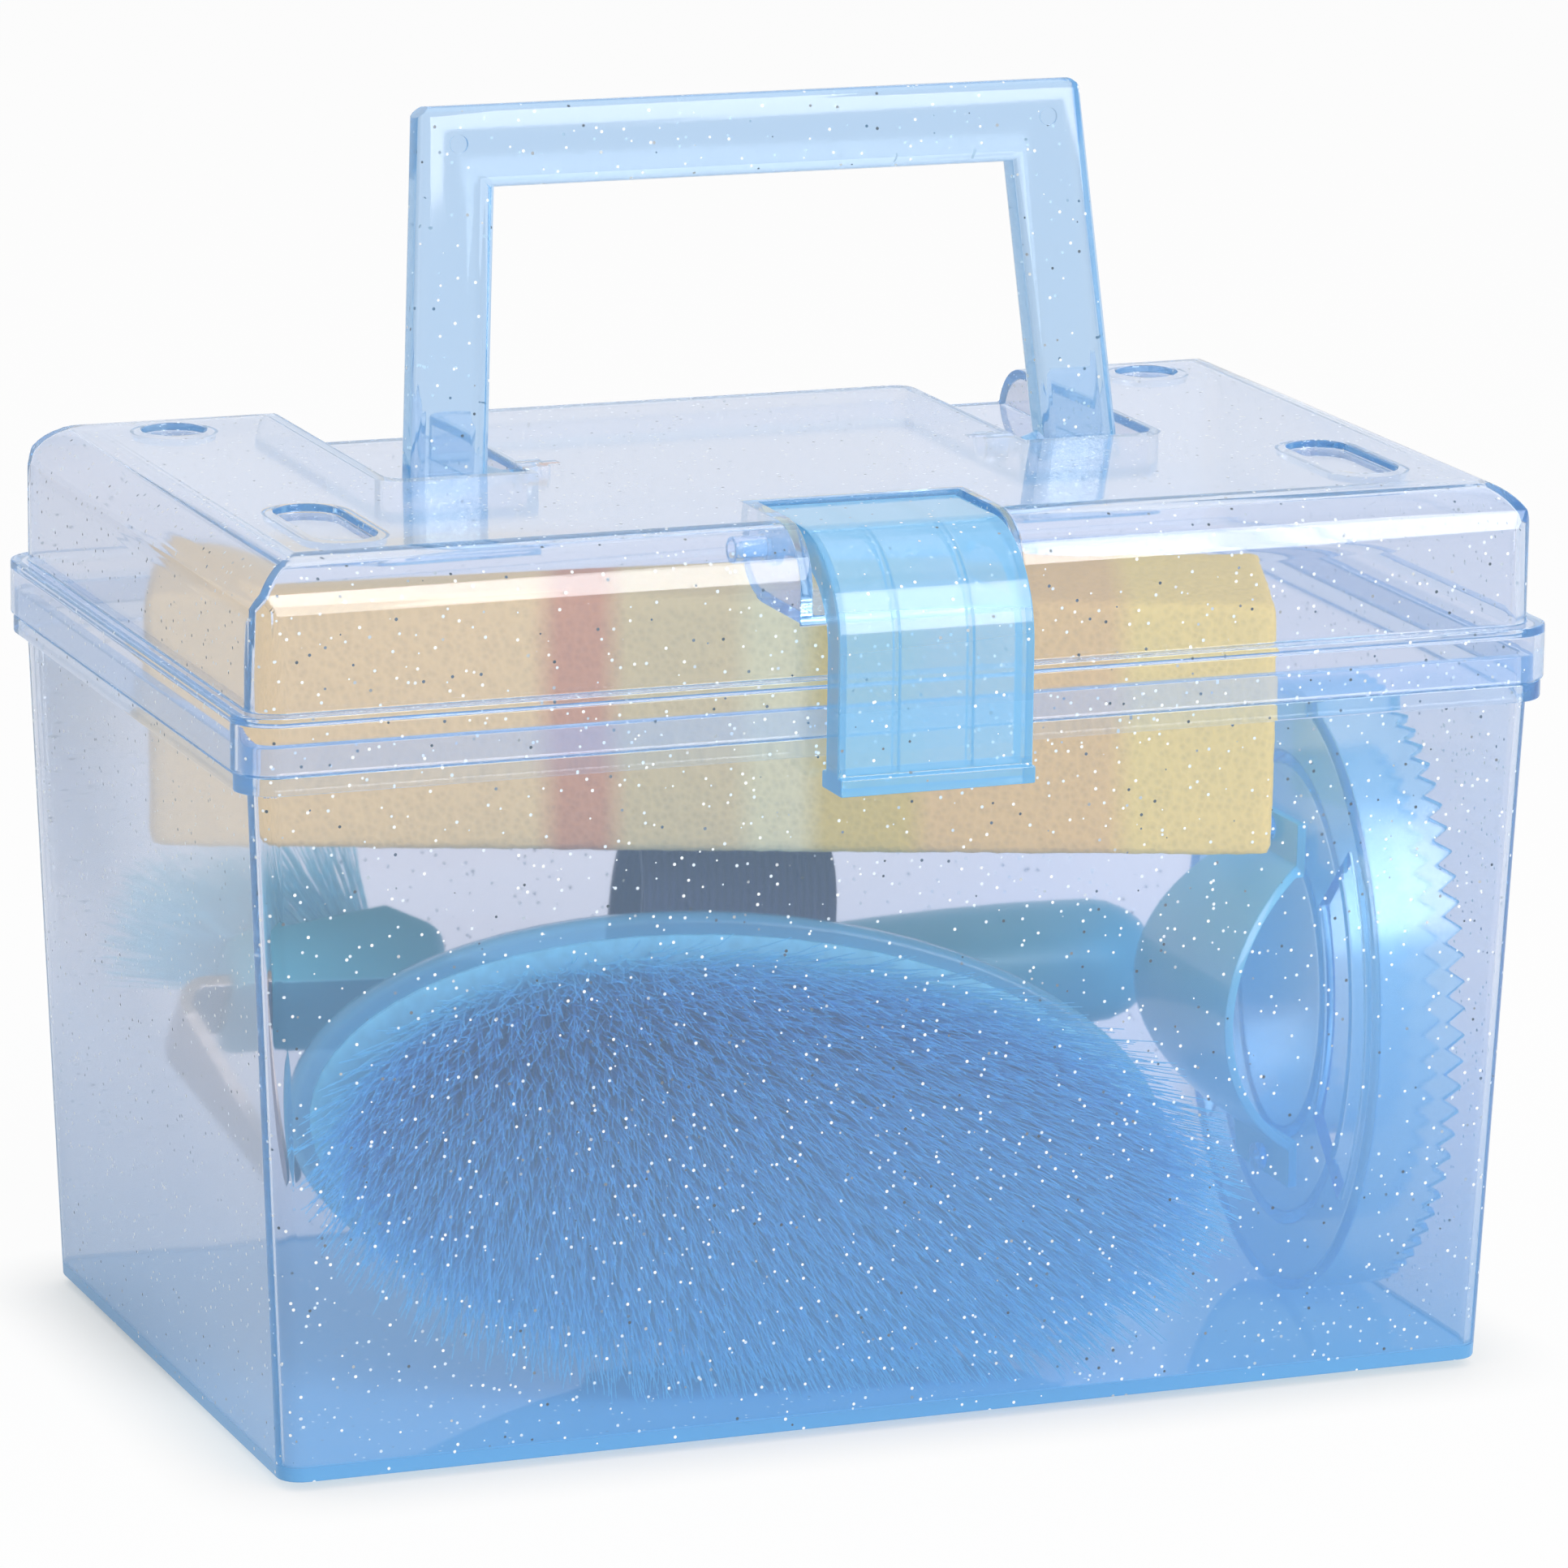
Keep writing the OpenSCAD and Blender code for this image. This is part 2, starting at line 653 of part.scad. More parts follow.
// Section of the handle's bars: its edges are rounded in flats, so that the mitres meet exactly
module bar_section() {
    round_rect(handle_bar, handle_t, handle_edge_r, $fn = 12);
}

module handle_leg() {
    inner_x = handle_base_w / 2 - handle_bar / cos(handle_slant);
    difference() {
        intersection() {
            translate([handle_base_w / 2, 0, 0]) rotate([0, -handle_slant, 0]) {
                translate([-handle_bar / 2, 0, -handle_t]) {
                    linear_extrude(handle_reach + 3 * handle_t) bar_section();
                }
            }
            front_slab(2 * handle_t) polygon([mitre_low, mitre_high, [handle_base_w, mitre_high[1]],
                [handle_base_w, -2 * handle_t], [mitre_low[0], -2 * handle_t]]);
            side_slab(0, handle_base_w) {
                circle(handle_end_r);
                translate([-handle_end_r, 0]) square([2 * handle_end_r, handle_reach + handle_bar]);
            }
        }
        handle_corner_waste();
    }
    translate([inner_x + overrun, 0, 0]) rotate([0, -90, 0]) {
        cylinder(h = handle_collar_l + overrun, r1 = handle_collar_r, r2 = handle_pin_r + pin_play);
    }
    rod_x(island_half_w - boss_l + side_play, inner_x + overrun, handle_pin_r);
}

module handle_crossbar() {
    difference() {
        intersection() {
            translate([-handle_base_w / 2, 0, handle_reach - handle_bar / 2]) rotate([0, 90, 0]) {
                linear_extrude(handle_base_w) bar_section();
            }
            front_slab(2 * handle_t) polygon([[-mitre_low[0], mitre_low[1]], mitre_low, mitre_high,
                [-mitre_high[0], mitre_high[1]]]);
        }
        handle_corner_waste();
        mirror([1, 0, 0]) handle_corner_waste();
    }
}

module handle() {
    color(tub_colour) place() translate([0, handle_pivot_y, handle_pivot_z]) rotate([-handle_lean, 0, 0]) {
        difference() {
            union() {
                handle_leg();
                mirror([1, 0, 0]) handle_leg();
                handle_crossbar();
            }
            for (x = [-1, 1]) {
                translate([x * (handle_top_w / 2 - dimple_in), dimple_deep - handle_t / 2, dimple_z]) {
                    rotate([90, 0, 0]) cylinder(h = dimple_deep + overrun, r = dimple_r);
                }
            }
        }
    }
}

// The latch's section, filled back from a skin that lies s inside its outer face
module latch_fill(s) {
    bend_a = latch_front - latch_bend_r;
    bend_z = latch_top - latch_bend_r;
    rear = latch_rear_a - (s > 0 ? overrun : 0);
    foot = latch_foot_z - (s > 0 ? overrun : 0);
    translate([-bend_a, foot]) square([bend_a - rear, latch_top - s - foot]);
    translate([s - latch_front, foot]) square([latch_front - s - rear, bend_z - foot]);
    intersection() {
        translate([-bend_a, bend_z]) circle(latch_bend_r - s);
        translate([-latch_front, bend_z]) square(latch_bend_r);
    }
}

module latch_band(t) {
    difference() {
        latch_fill(0);
        latch_fill(t);
    }
}

module latch() {
    half = latch_w / 2;
    hook_a = lip_d / 2 + bite_gap;
    color(latch_colour) place() {
        side_slab(-half, half) {
            latch_band(latch_t);
            translate([-front_reach, latch_foot_z]) square([front_reach - hook_a, latch_bar_h]);
        }
        for (x = [-1, 1]) {
            translate([x * (half - latch_cheek_t / 2), 0, 0]) {
                side_slab(-latch_cheek_t / 2, latch_cheek_t / 2) {
                    latch_band(latch_cheek);
                    translate([-latch_pivot_a, latch_pivot_z]) circle(latch_eye_r);
                }
            }
            translate([x * latch_rib_x, 0, 0]) {
                side_slab(-latch_rib_t / 2, latch_rib_t / 2) latch_band(latch_rib_deep);
            }
            translate([x * (half + latch_boss_l / 2), -latch_pivot_a, latch_pivot_z]) {
                pin_half = (latch_boss_l + latch_cheek_t) / 2;
                rod_x(-pin_half, pin_half, latch_pin_r);
            }
        }
    }
}

module sponge() {
    corner = [sponge_corner_x, sponge_corner_y, sponge_z];
    color(foam_colour) place() translate(corner) rotate([0, 0, -sponge_turn]) {
        translate([sponge_l / 2, sponge_d / 2, 0]) intersection() {
            round_slab(sponge_l, sponge_d, sponge_edge_r, 0, sponge_h);
            translate([-sponge_l / 2, 0, sponge_h / 2]) rotate([0, 90, 0]) {
                linear_extrude(sponge_l) round_rect(sponge_h, sponge_d, sponge_edge_r);
            }
            translate([0, sponge_d / 2, sponge_h / 2]) rotate([90, 0, 0]) {
                linear_extrude(sponge_d) round_rect(sponge_l, sponge_h, sponge_edge_r);
            }
        }
    }
}

// Turns the brush's own frame to its place in the box: length along X, height along Y, bristles along Z,
// with the front face of the back at the origin
module brush_frame() {
    place() translate([brush_x, brush_y, brush_z]) {
        rotate([0, 0, -brush_turn]) rotate([-brush_tilt, 0, 0]) rotate([0, brush_roll, 0]) {
            rotate([90, 0, 0]) children();
        }
    }
}

// Rivet places on the back: two on the strap's upper tab and two on its lower tab
module rivet_places() {
    for (x = [-rivet_x, rivet_x], v = [strap_top - strap_tab / 2, strap_end + strap_tab / 2]) {
        translate([x, v, -brush_back_t]) children();
    }
}

module body_brush_back() {
    levels = [[4 * brush_edge_r, -brush_back_t], [2 * brush_edge_r, brush_edge_r / 4 - brush_back_t],
        [brush_edge_r / 2, brush_edge_r - brush_back_t], [0, 2 * brush_edge_r - brush_back_t],
        [0, -brush_edge_r / 2], [brush_edge_r / 2, -touch_gap]];
    color(clear_blue) brush_frame() difference() {
        oval_loft(brush_a, brush_b, levels);
        rivet_places() translate([0, 0, -overrun]) {
            cylinder(h = rivet_grip + touch_gap + overrun, r = shank_r + pin_play);
        }
    }
}

module body_brush_bristles() {
    a0 = brush_root_share * (brush_a - brush_edge_r);
    b0 = brush_root_share * (brush_b - brush_edge_r);
    color(bristle_blue) brush_frame() {
        oval_loft(brush_a, brush_b, [[brush_edge_r, 0], [brush_edge_r, brush_slice_t]]);
        for (i = [1 : brush_strands]) {
            spread = sqrt((i - 0.5) / brush_strands);
            unit = spread * [cos(golden_turn * i), sin(golden_turn * i)];
            strand([a0 * unit[0], b0 * unit[1], brush_slice_t - bristle_root],
                [(brush_a + brush_flare) * unit[0], (brush_b + brush_flare / 2) * unit[1], brush_bristle_l],
                brush_strand_r, brush_tip_r);
        }
    }
}

// The strap's run, seen along the brush: n out of the back, v up it, filled to s inside its outer face
module strap_fill(s) {
    far = 2 * strap_loop_r - s;
    translate([strap_loop_r, strap_top]) circle(strap_loop_r - s);
    translate([0, strap_low]) square([far, strap_top - strap_low]);
    intersection() {
        translate([0, strap_low]) circle(far);
        translate([0, strap_low - far]) square([far, far]);
    }
}

module body_brush_strap() {
    color(strap_navy) brush_frame() difference() {
        translate([-brush_strap_w / 2, 0, -brush_back_t - touch_gap]) rotate([0, 90, 0]) {
            linear_extrude(brush_strap_w) {
                difference() {
                    strap_fill(0);
                    strap_fill(brush_strap_t);
                }
                translate([0, strap_top - strap_tab]) square([brush_strap_t, strap_tab]);
                translate([0, strap_end]) square([brush_strap_t, strap_tab]);
            }
        }
        rivet_places() translate([0, 0, -2 * brush_strap_t]) {
            cylinder(h = 2 * brush_strap_t, r = shank_r + pin_play);
        }
    }
}

module body_brush_rivets() {
    color(steel) brush_frame() rivet_places() {
        translate([0, 0, -brush_strap_t - 2 * touch_gap - rivet_t]) cylinder(h = rivet_t, r = rivet_r);
        translate([0, 0, -brush_strap_t - 2 * touch_gap - rivet_t / 2]) {
            cylinder(h = rivet_grip + brush_strap_t + touch_gap + rivet_t / 2, r = shank_r);
        }
    }
}

module curry_comb() {
    color(clear_blue) comb_frame() difference() {
        union() {
            difference() {
                oval_loft(comb_a, comb_b, [[comb_edge_r, 0], [0, comb_edge_r], [0, comb_plate_t]]);
                for (side = [0, 180]) rotate(side) comb_opening();
            }
            for (ring = comb_ring_shares) {
                translate([0, 0, comb_plate_t / 2]) {
                    toothed_ring(comb_a * ring[0], comb_b * ring[1], comb_ring_t,
                        comb_ring_h + comb_plate_t / 2, ring[2]);
                }
            }
        }
        stud_places() translate([0, 0, -overrun]) {
            cylinder(h = comb_plate_t + 2 * overrun, r = shank_r + pin_play);
        }
    }
}

// Crescent opening on one side of the plate, between two ovals
module comb_opening() {
    far = comb_l;
    translate([0, 0, -overrun]) linear_extrude(comb_plate_t + 2 * overrun) intersection() {
        difference() {
            polygon([for (i = [0 : 63]) let (t = 360 * i / 64)
                [comb_a * comb_opening_shares[0][0] * cos(t), comb_b * comb_opening_shares[0][1] * sin(t)]]);
            polygon([for (i = [0 : 63]) let (t = 360 * i / 64)
                [comb_a * comb_opening_shares[1][0] * cos(t), comb_b * comb_opening_shares[1][1] * sin(t)]]);
        }
        polygon([[0, 0], far * [cos(comb_opening_angle), -sin(comb_opening_angle)],
            far * [cos(comb_opening_angle), sin(comb_opening_angle)]]);
    }
}

// Stud places on the comb's plate, under the two feet of its strap
module stud_places() {
    for (v = [-1, 1]) {
        translate([0, comb_strap_shift + v * (comb_strap_half + comb_foot_l / 2), 0]) children();
    }
}

module comb_frame() {
    place() translate([comb_x, comb_y, comb_z]) rotate([90, 0, 90]) children();
}

module curry_comb_strap() {
    arch_r = (comb_strap_half * comb_strap_half + comb_strap_rise * comb_strap_rise) / (2 * comb_strap_rise);
    color(clear_blue) comb_frame() difference() {
        translate([comb_strap_w / 2, comb_strap_shift, -touch_gap]) rotate([0, -90, 0]) mirror([1, 0, 0]) {
            linear_extrude(comb_strap_w) {
                intersection() {
                    difference() {
                        translate([comb_strap_rise - arch_r, 0]) circle(arch_r);
                        translate([comb_strap_rise - arch_r, 0]) circle(arch_r - comb_strap_t);
                    }
                    translate([0, -comb_strap_half]) square([comb_strap_rise, 2 * comb_strap_half]);
                }
                for (v = [-1, 1]) {
                    translate([comb_strap_t / 2, v * (comb_strap_half + comb_foot_l / 2 - comb_strap_t)]) {
                        square([comb_strap_t, comb_foot_l + 2 * comb_strap_t], center = true);
                    }
                }
            }
        }
        stud_places() translate([0, 0, -2 * comb_strap_t]) {
            cylinder(h = 2 * comb_strap_t, r = shank_r + pin_play);
        }
    }
}

module curry_comb_studs() {
    color(clear_blue) comb_frame() stud_places() {
        translate([0, 0, -comb_strap_t - 2 * touch_gap - stud_t]) cylinder(h = stud_t, r = stud_r);
        translate([0, 0, -comb_strap_t - 2 * touch_gap - stud_t / 2]) {
            cylinder(h = comb_plate_t + comb_strap_t + 2 * touch_gap + stud_t / 2, r = shank_r);
        }
    }
}

// Turns the pick's own frame, fat end at the origin and head towards -X, to its place in the box
module pick_frame() {
    place() translate([pick_x, pick_y, pick_z]) rotate([0, pick_pitch, -pick_yaw]) {
        rotate([pick_roll, 0, 0]) children();
    }
}

// Radius of the grip at a distance from its fat end: a round nose, then a smooth taper to the neck
function grip_radius(d) = d < pick_nose
    ? pick_grip_r * sqrt(1 - pow(1 - d / pick_nose, 2))
    : pick_neck_r + (pick_grip_r - pick_neck_r)
        * (1 + cos(180 * (d - pick_nose) / (pick_grip_l - pick_nose))) / 2;

module pick_grip() {
    nose_shares = [0, 0.03, 0.12, 0.27, 0.47, 0.72, 1];
    taper_shares = [0.12, 0.24, 0.36, 0.48, 0.6, 0.72, 0.86, 1];
    curve = concat([for (k = nose_shares) [grip_radius(k * pick_nose), k * pick_nose]],
        [for (k = taper_shares) let (d = pick_nose + k * (pick_grip_l - pick_nose)) [grip_radius(d), d]]);
    neck_end = pick_shank_l + overrun;
    rotate([0, -90, 0]) rotate_extrude() {
        polygon(concat(curve, [[pick_neck_r, neck_end], [0, neck_end]]));
    }
}

module pick_head() {
    intersection() {
        translate([-pick_shank_l, 0, -pick_head_w / 2]) linear_extrude(pick_head_w) {
            polygon([for (k = head_shares) [-k[0] * pick_head_l, k[1] * pick_head_h]]);
        }
        translate([-pick_shank_l - pick_head_l / 2, pick_head_h, 0]) rotate([90, 0, 0]) {
            linear_extrude(2 * pick_head_h) round_rect(pick_head_l, pick_head_w, head_corner_r);
        }
    }
}

module hoof_pick_handle() {
    slot_t = hook_t + 2 * pin_play;
    color(teal) pick_frame() difference() {
        union() {
            pick_grip();
            pick_head();
        }
        translate([pick_end_x - overrun, hook_level - slot_t / 2, -hook_w / 2 - pin_play]) {
            cube([hook_root + pin_play + overrun, slot_t, hook_w + 2 * pin_play]);
        }
    }
}

// The hook: a steel strip out of the head, bent round and tapered to a point
module hoof_pick_hook() {
    bend_x = pick_end_x - hook_run;
    outer_r = hook_bend_r + hook_t / 2;
    color(steel) pick_frame() {
        translate([bend_x, hook_level - hook_t / 2, -hook_w / 2]) {
            cube([hook_run + hook_root, hook_t, hook_w]);
        }
        translate([bend_x, hook_level - hook_bend_r, 0]) {
            rotate([0, 0, 90]) translate([0, 0, -hook_w / 2]) {
                rotate_extrude(angle = hook_turn) translate([outer_r - hook_t, 0]) square([hook_t, hook_w]);
            }
            rotate([0, 0, hook_turn - 90]) translate([-hook_bend_r - hook_t / 2, 0, 0]) {
                rotate([0, 90, 0]) linear_extrude(hook_t) hook_blade();
            }
        }
    }
}

// The hook's tapered blade, lying along -Y
module hook_blade() {
    tip_r = hook_tip_w / 2;
    polygon([[-hook_w / 2, mitre_lap], [-tip_r, tip_r - hook_l],
        [tip_r, tip_r - hook_l], [hook_w / 2, mitre_lap]]);
    translate([0, tip_r - hook_l]) circle(tip_r);
}

module hoof_pick_bristles() {
    pad_l = pick_bristle_share * pad_seat_l;
    pad_w = pick_head_w - 2 * pick_bristle_margin;
    pitch_x = pad_l / pick_strand_columns;
    pitch_z = pad_w / pick_strand_rows;
    seat_at = (head_peak + head_end) / 2;
    color(pale_bristle) pick_frame() translate([-pick_shank_l - seat_at[0], seat_at[1], 0]) {
        rotate([0, 0, pad_slope]) translate([0, touch_gap, 0]) rotate([-90, 0, 0]) {
            translate([0, 0, pick_slice_t / 2]) cube([pad_l, pad_w, pick_slice_t], center = true);
            for (i = [0 : pick_strand_columns - 1], j = [0 : pick_strand_rows - 1]) {
                root = [(i + 0.5) * pitch_x - pad_l / 2, (j + 0.5) * pitch_z - pad_w / 2, 0];
                strand(root + [0, 0, pick_slice_t - bristle_root],
                    pick_bristle_fan * root + [-pick_sweep_left, pick_sweep_back, pick_bristle_l],
                    pick_strand_r, pick_tip_r);
            }
        }
    }
}

box_body();
lid();
handle();
latch();
sponge();
body_brush_back();
body_brush_bristles();
body_brush_strap();
body_brush_rivets();
curry_comb();
curry_comb_strap();
curry_comb_studs();
hoof_pick_handle();
hoof_pick_hook();
hoof_pick_bristles();
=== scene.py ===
# %% [markdown]
# # A see-through grooming box
# The box is moulded in pale blue glitter plastic, and its tools show through the walls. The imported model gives
# every solid its place in metres. Here each solid gets the edges, fibres, pores and finishes of the real piece.

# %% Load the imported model
import math
import random

import bmesh
import bpy
from mathutils import Matrix, Vector


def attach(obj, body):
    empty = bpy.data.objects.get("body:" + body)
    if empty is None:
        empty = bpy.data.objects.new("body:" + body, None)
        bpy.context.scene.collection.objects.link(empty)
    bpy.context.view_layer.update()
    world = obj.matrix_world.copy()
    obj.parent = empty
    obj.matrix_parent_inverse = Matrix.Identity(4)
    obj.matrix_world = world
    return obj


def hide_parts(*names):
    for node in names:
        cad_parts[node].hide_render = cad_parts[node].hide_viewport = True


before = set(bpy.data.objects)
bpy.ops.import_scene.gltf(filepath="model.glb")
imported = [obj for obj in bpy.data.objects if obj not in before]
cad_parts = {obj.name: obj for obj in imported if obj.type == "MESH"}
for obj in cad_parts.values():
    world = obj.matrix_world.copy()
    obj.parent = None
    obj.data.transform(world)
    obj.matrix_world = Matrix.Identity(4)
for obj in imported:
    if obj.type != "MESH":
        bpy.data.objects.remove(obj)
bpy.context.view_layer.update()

MM = 0.001

# %% [markdown]
# ## Camera
# The photograph was taken from the front left, a little above the lid, with a long lens. A long lens keeps the
# box's upright edges almost parallel. The camera stands on a line out of the target, at an azimuth and an
# elevation, and rolls by less than a degree, as a hand-held frame does.

# %% Camera at the photograph's angle
AZIMUTH, ELEVATION, ROLL = (math.radians(a) for a in (-21.43, 13.35, 0.76))
TARGET = Vector((3.56, 1.425, 103.34)) * MM
DISTANCE = 1561.72 * MM
IMAGE_SIDE, FOCAL_PIXELS = 1932, 10395.5

camera = bpy.data.objects.new("camera", bpy.data.cameras.new("camera"))
bpy.context.scene.collection.objects.link(camera)
bpy.context.scene.camera = camera
camera.data.sensor_width = 36
camera.data.lens = camera.data.sensor_width * FOCAL_PIXELS / IMAGE_SIDE
camera.data.clip_start, camera.data.clip_end = 0.05, 50

back = Vector((
    math.sin(AZIMUTH) * math.cos(ELEVATION),
    -math.cos(AZIMUTH) * math.cos(ELEVATION),
    math.sin(ELEVATION),
))
level = Vector((math.cos(AZIMUTH), math.sin(AZIMUTH), 0))
above = back.cross(level)
right = level * math.cos(ROLL) + above * math.sin(ROLL)
up = above * math.cos(ROLL) - level * math.sin(ROLL)
place = TARGET + back * DISTANCE
camera.matrix_world = Matrix([[*row] for row in zip(right, up, back, place)] + [[0, 0, 0, 1]])
print("lens mm:", round(camera.data.lens, 1))

# %% [markdown]
# ## Nodes and colours
# Two small functions keep the materials short. One turns a colour written as sRGB hex, as in any paint program,
# into the linear light that Blender reckons with. The other adds a node, sets what is plain and links the rest.

# %% Colour and node helpers
def hex_colour(text):
    channels = [int(text[i:i + 2], 16) / 255 for i in (1, 3, 5)]
    linear = [c / 12.92 if c <= 0.04045 else ((c + 0.055) / 1.055) ** 2.4 for c in channels]
    return (*linear, 1)


def add(tree, kind, inputs=None, **settings):
    node = tree.nodes.new(kind)
    for name, value in settings.items():
        setattr(node, name, value)
    for name, value in (inputs or {}).items():
        if isinstance(value, bpy.types.NodeSocket):
            tree.links.new(value, node.inputs[name])
        else:
            node.inputs[name].default_value = value
    return node


def new_material(name):
    material = bpy.data.materials.new(name)
    material.use_nodes = True
    material.node_tree.nodes.clear()
    return material, material.node_tree


print("sky blue, linear:", [round(c, 3) for c in hex_colour("#6fb5e0")])

# %% [markdown]
# ## Studio
# The photograph is a product picture in a white tent. The floor and the world are white where the eye, a
# reflection or the clear plastic looks at them, and light the box at a plain level otherwise. The floor keeps
# part of its own shading, so that the box stands on a soft shadow, and its white fades close under the box, where
# the box keeps the tent's light off the paper.

# %% White world and floor
def seen_directly(tree, by_eye, by_plastic):
    rays = add(tree, "ShaderNodeLightPath").outputs
    mirrored = add(tree, "ShaderNodeMath", {
        0: rays["Is Glossy Ray"], 1: rays["Is Transmission Ray"]}, operation="MAXIMUM")
    mirrored = add(tree, "ShaderNodeMath", {0: mirrored.outputs[0], 1: by_plastic}, operation="MULTIPLY")
    straight = add(tree, "ShaderNodeMath", {0: rays["Is Camera Ray"], 1: by_eye}, operation="MULTIPLY")
    either = add(tree, "ShaderNodeMath", {0: mirrored.outputs[0], 1: straight.outputs[0]}, operation="MAXIMUM")
    return either.outputs[0]


WORLD_LIGHT = 0.4
world = bpy.data.worlds.new("white_tent")
bpy.context.scene.world = world
world.use_nodes = True
world.node_tree.nodes.clear()
tree = world.node_tree
strength = add(tree, "ShaderNodeMapRange", {
    "Value": seen_directly(tree, 1.0, 1.0), "To Min": WORLD_LIGHT, "To Max": 1.0})
tent = add(tree, "ShaderNodeBackground", {"Color": (1, 1, 1, 1), "Strength": strength.outputs[0]})
add(tree, "ShaderNodeOutputWorld", {"Surface": tent.outputs[0]})

WHITE_TO_EYE, WHITE_TO_PLASTIC = 0.95, 0.64
CONTACT_SHADOW = 20 * MM
FLOOR_SIDE, FLOOR_DROP = 12, 0.2 * MM
floor_paper, tree = new_material("white_paper")
paper = add(tree, "ShaderNodeBsdfDiffuse", {"Color": hex_colour("#f4f4f4")})
glow = add(tree, "ShaderNodeEmission", {"Color": (1, 1, 1, 1), "Strength": 1.0})
open_sky = add(tree, "ShaderNodeAmbientOcclusion", {"Distance": CONTACT_SHADOW}, samples=8).outputs["AO"]
looked_at = seen_directly(tree, WHITE_TO_EYE, WHITE_TO_PLASTIC)
share = add(tree, "ShaderNodeMath", {0: looked_at, 1: open_sky}, operation="MULTIPLY")
mix = add(tree, "ShaderNodeMixShader", {0: share.outputs[0], 1: paper.outputs[0], 2: glow.outputs[0]})
add(tree, "ShaderNodeOutputMaterial", {"Surface": mix.outputs[0]})

bpy.ops.object.select_all(action="DESELECT")
bpy.ops.mesh.primitive_plane_add(size=FLOOR_SIDE, location=(0, 0, -FLOOR_DROP))
floor = bpy.context.active_object
floor.name = "floor"
floor.data.materials.append(floor_paper)
print("floor:", floor.name)

# %% [markdown]
# ## Lamps
# A tall softbox stands in front of the box, to the right of the camera. Its reflection is the bright strip along
# the lid's rounded front edge and over the bend of the latch, and it lights the tools through the front wall.
# A wide, weak lamp overhead and one on the left keep the shadows soft.

# %% Softboxes
def softbox(name, watts, size, at, aim):
    lamp = bpy.data.lights.new(name, "AREA")
    lamp.energy = watts
    lamp.shape = "RECTANGLE"
    lamp.size, lamp.size_y = size
    holder = bpy.data.objects.new(name, lamp)
    bpy.context.scene.collection.objects.link(holder)
    holder.location = at
    holder.rotation_euler = (Vector(aim) - Vector(at)).to_track_quat("-Z", "Y").to_euler()


softbox("front_softbox", 23.5, (0.9, 1.3), (0.655, -1.496, 1.074), (0.0, -0.09, 0.16))
softbox("overhead_softbox", 3.0, (1.6, 1.2), (0.0, 0.1, 1.4), (0.0, 0.0, 0.1))
softbox("left_softbox", 2.0, (0.8, 0.8), (-1.3, -0.3, 0.7), (0.0, 0.0, 0.1))

scene = bpy.context.scene
scene.view_settings.view_transform = "Standard"
scene.cycles.max_bounces = 32
scene.cycles.transmission_bounces = 32
scene.cycles.glossy_bounces = 24
scene.cycles.transparent_max_bounces = 32

# %% [markdown]
# ## Glitter plastic
# The shells are injection-moulded clear polystyrene with a little blue dye and fine metal flakes. Dye is a volume
# absorption, so a thin wall is nearly clear and an edge, where the eye looks along the plastic, is sky blue. The
# plastic is slightly milky: a share of it scatters light instead of passing it. That share grows where the eye
# meets a wall at a slant, in a band at the rim and in the base. Towards the foot the milk turns bluer, and in the
# tub's walls it also grows: this is painted shade, with blue light thrown back from the bristles. Flakes are the
# cores of random cells that the wall's faces cut, bright or dark by chance.

# %% Plastic of the shells
MOULDED_IOR = 1.49
FLAKE_PITCH, FLAKE_R = 2.6, 0.3
DARK_FLAKE, BRIGHT_FLAKE = (0.12, "#5b6874"), (0.3, "#fbfdff")
SLANT_MILK = 2.6
# The last of these is a painted shade blue, which the milk turns to towards the foot of a moulding
BASE_FROST, BASE_TOP, FOOT_SHADE_BLUE = 0.44, 4.2 * MM, "#70b4ea"
RIM_FROST, RIM_MIDDLE, RIM_HALF = 0.055, 131 * MM, 5 * MM
# Painted shade: extra milk in the tub's walls, growing downwards from this height
FOOT_SHADE_MILK, FOOT_SHADE_TOP = 0.2, 75 * MM
LAMP_TINT = (0.95, 0.98, 1.0, 1)


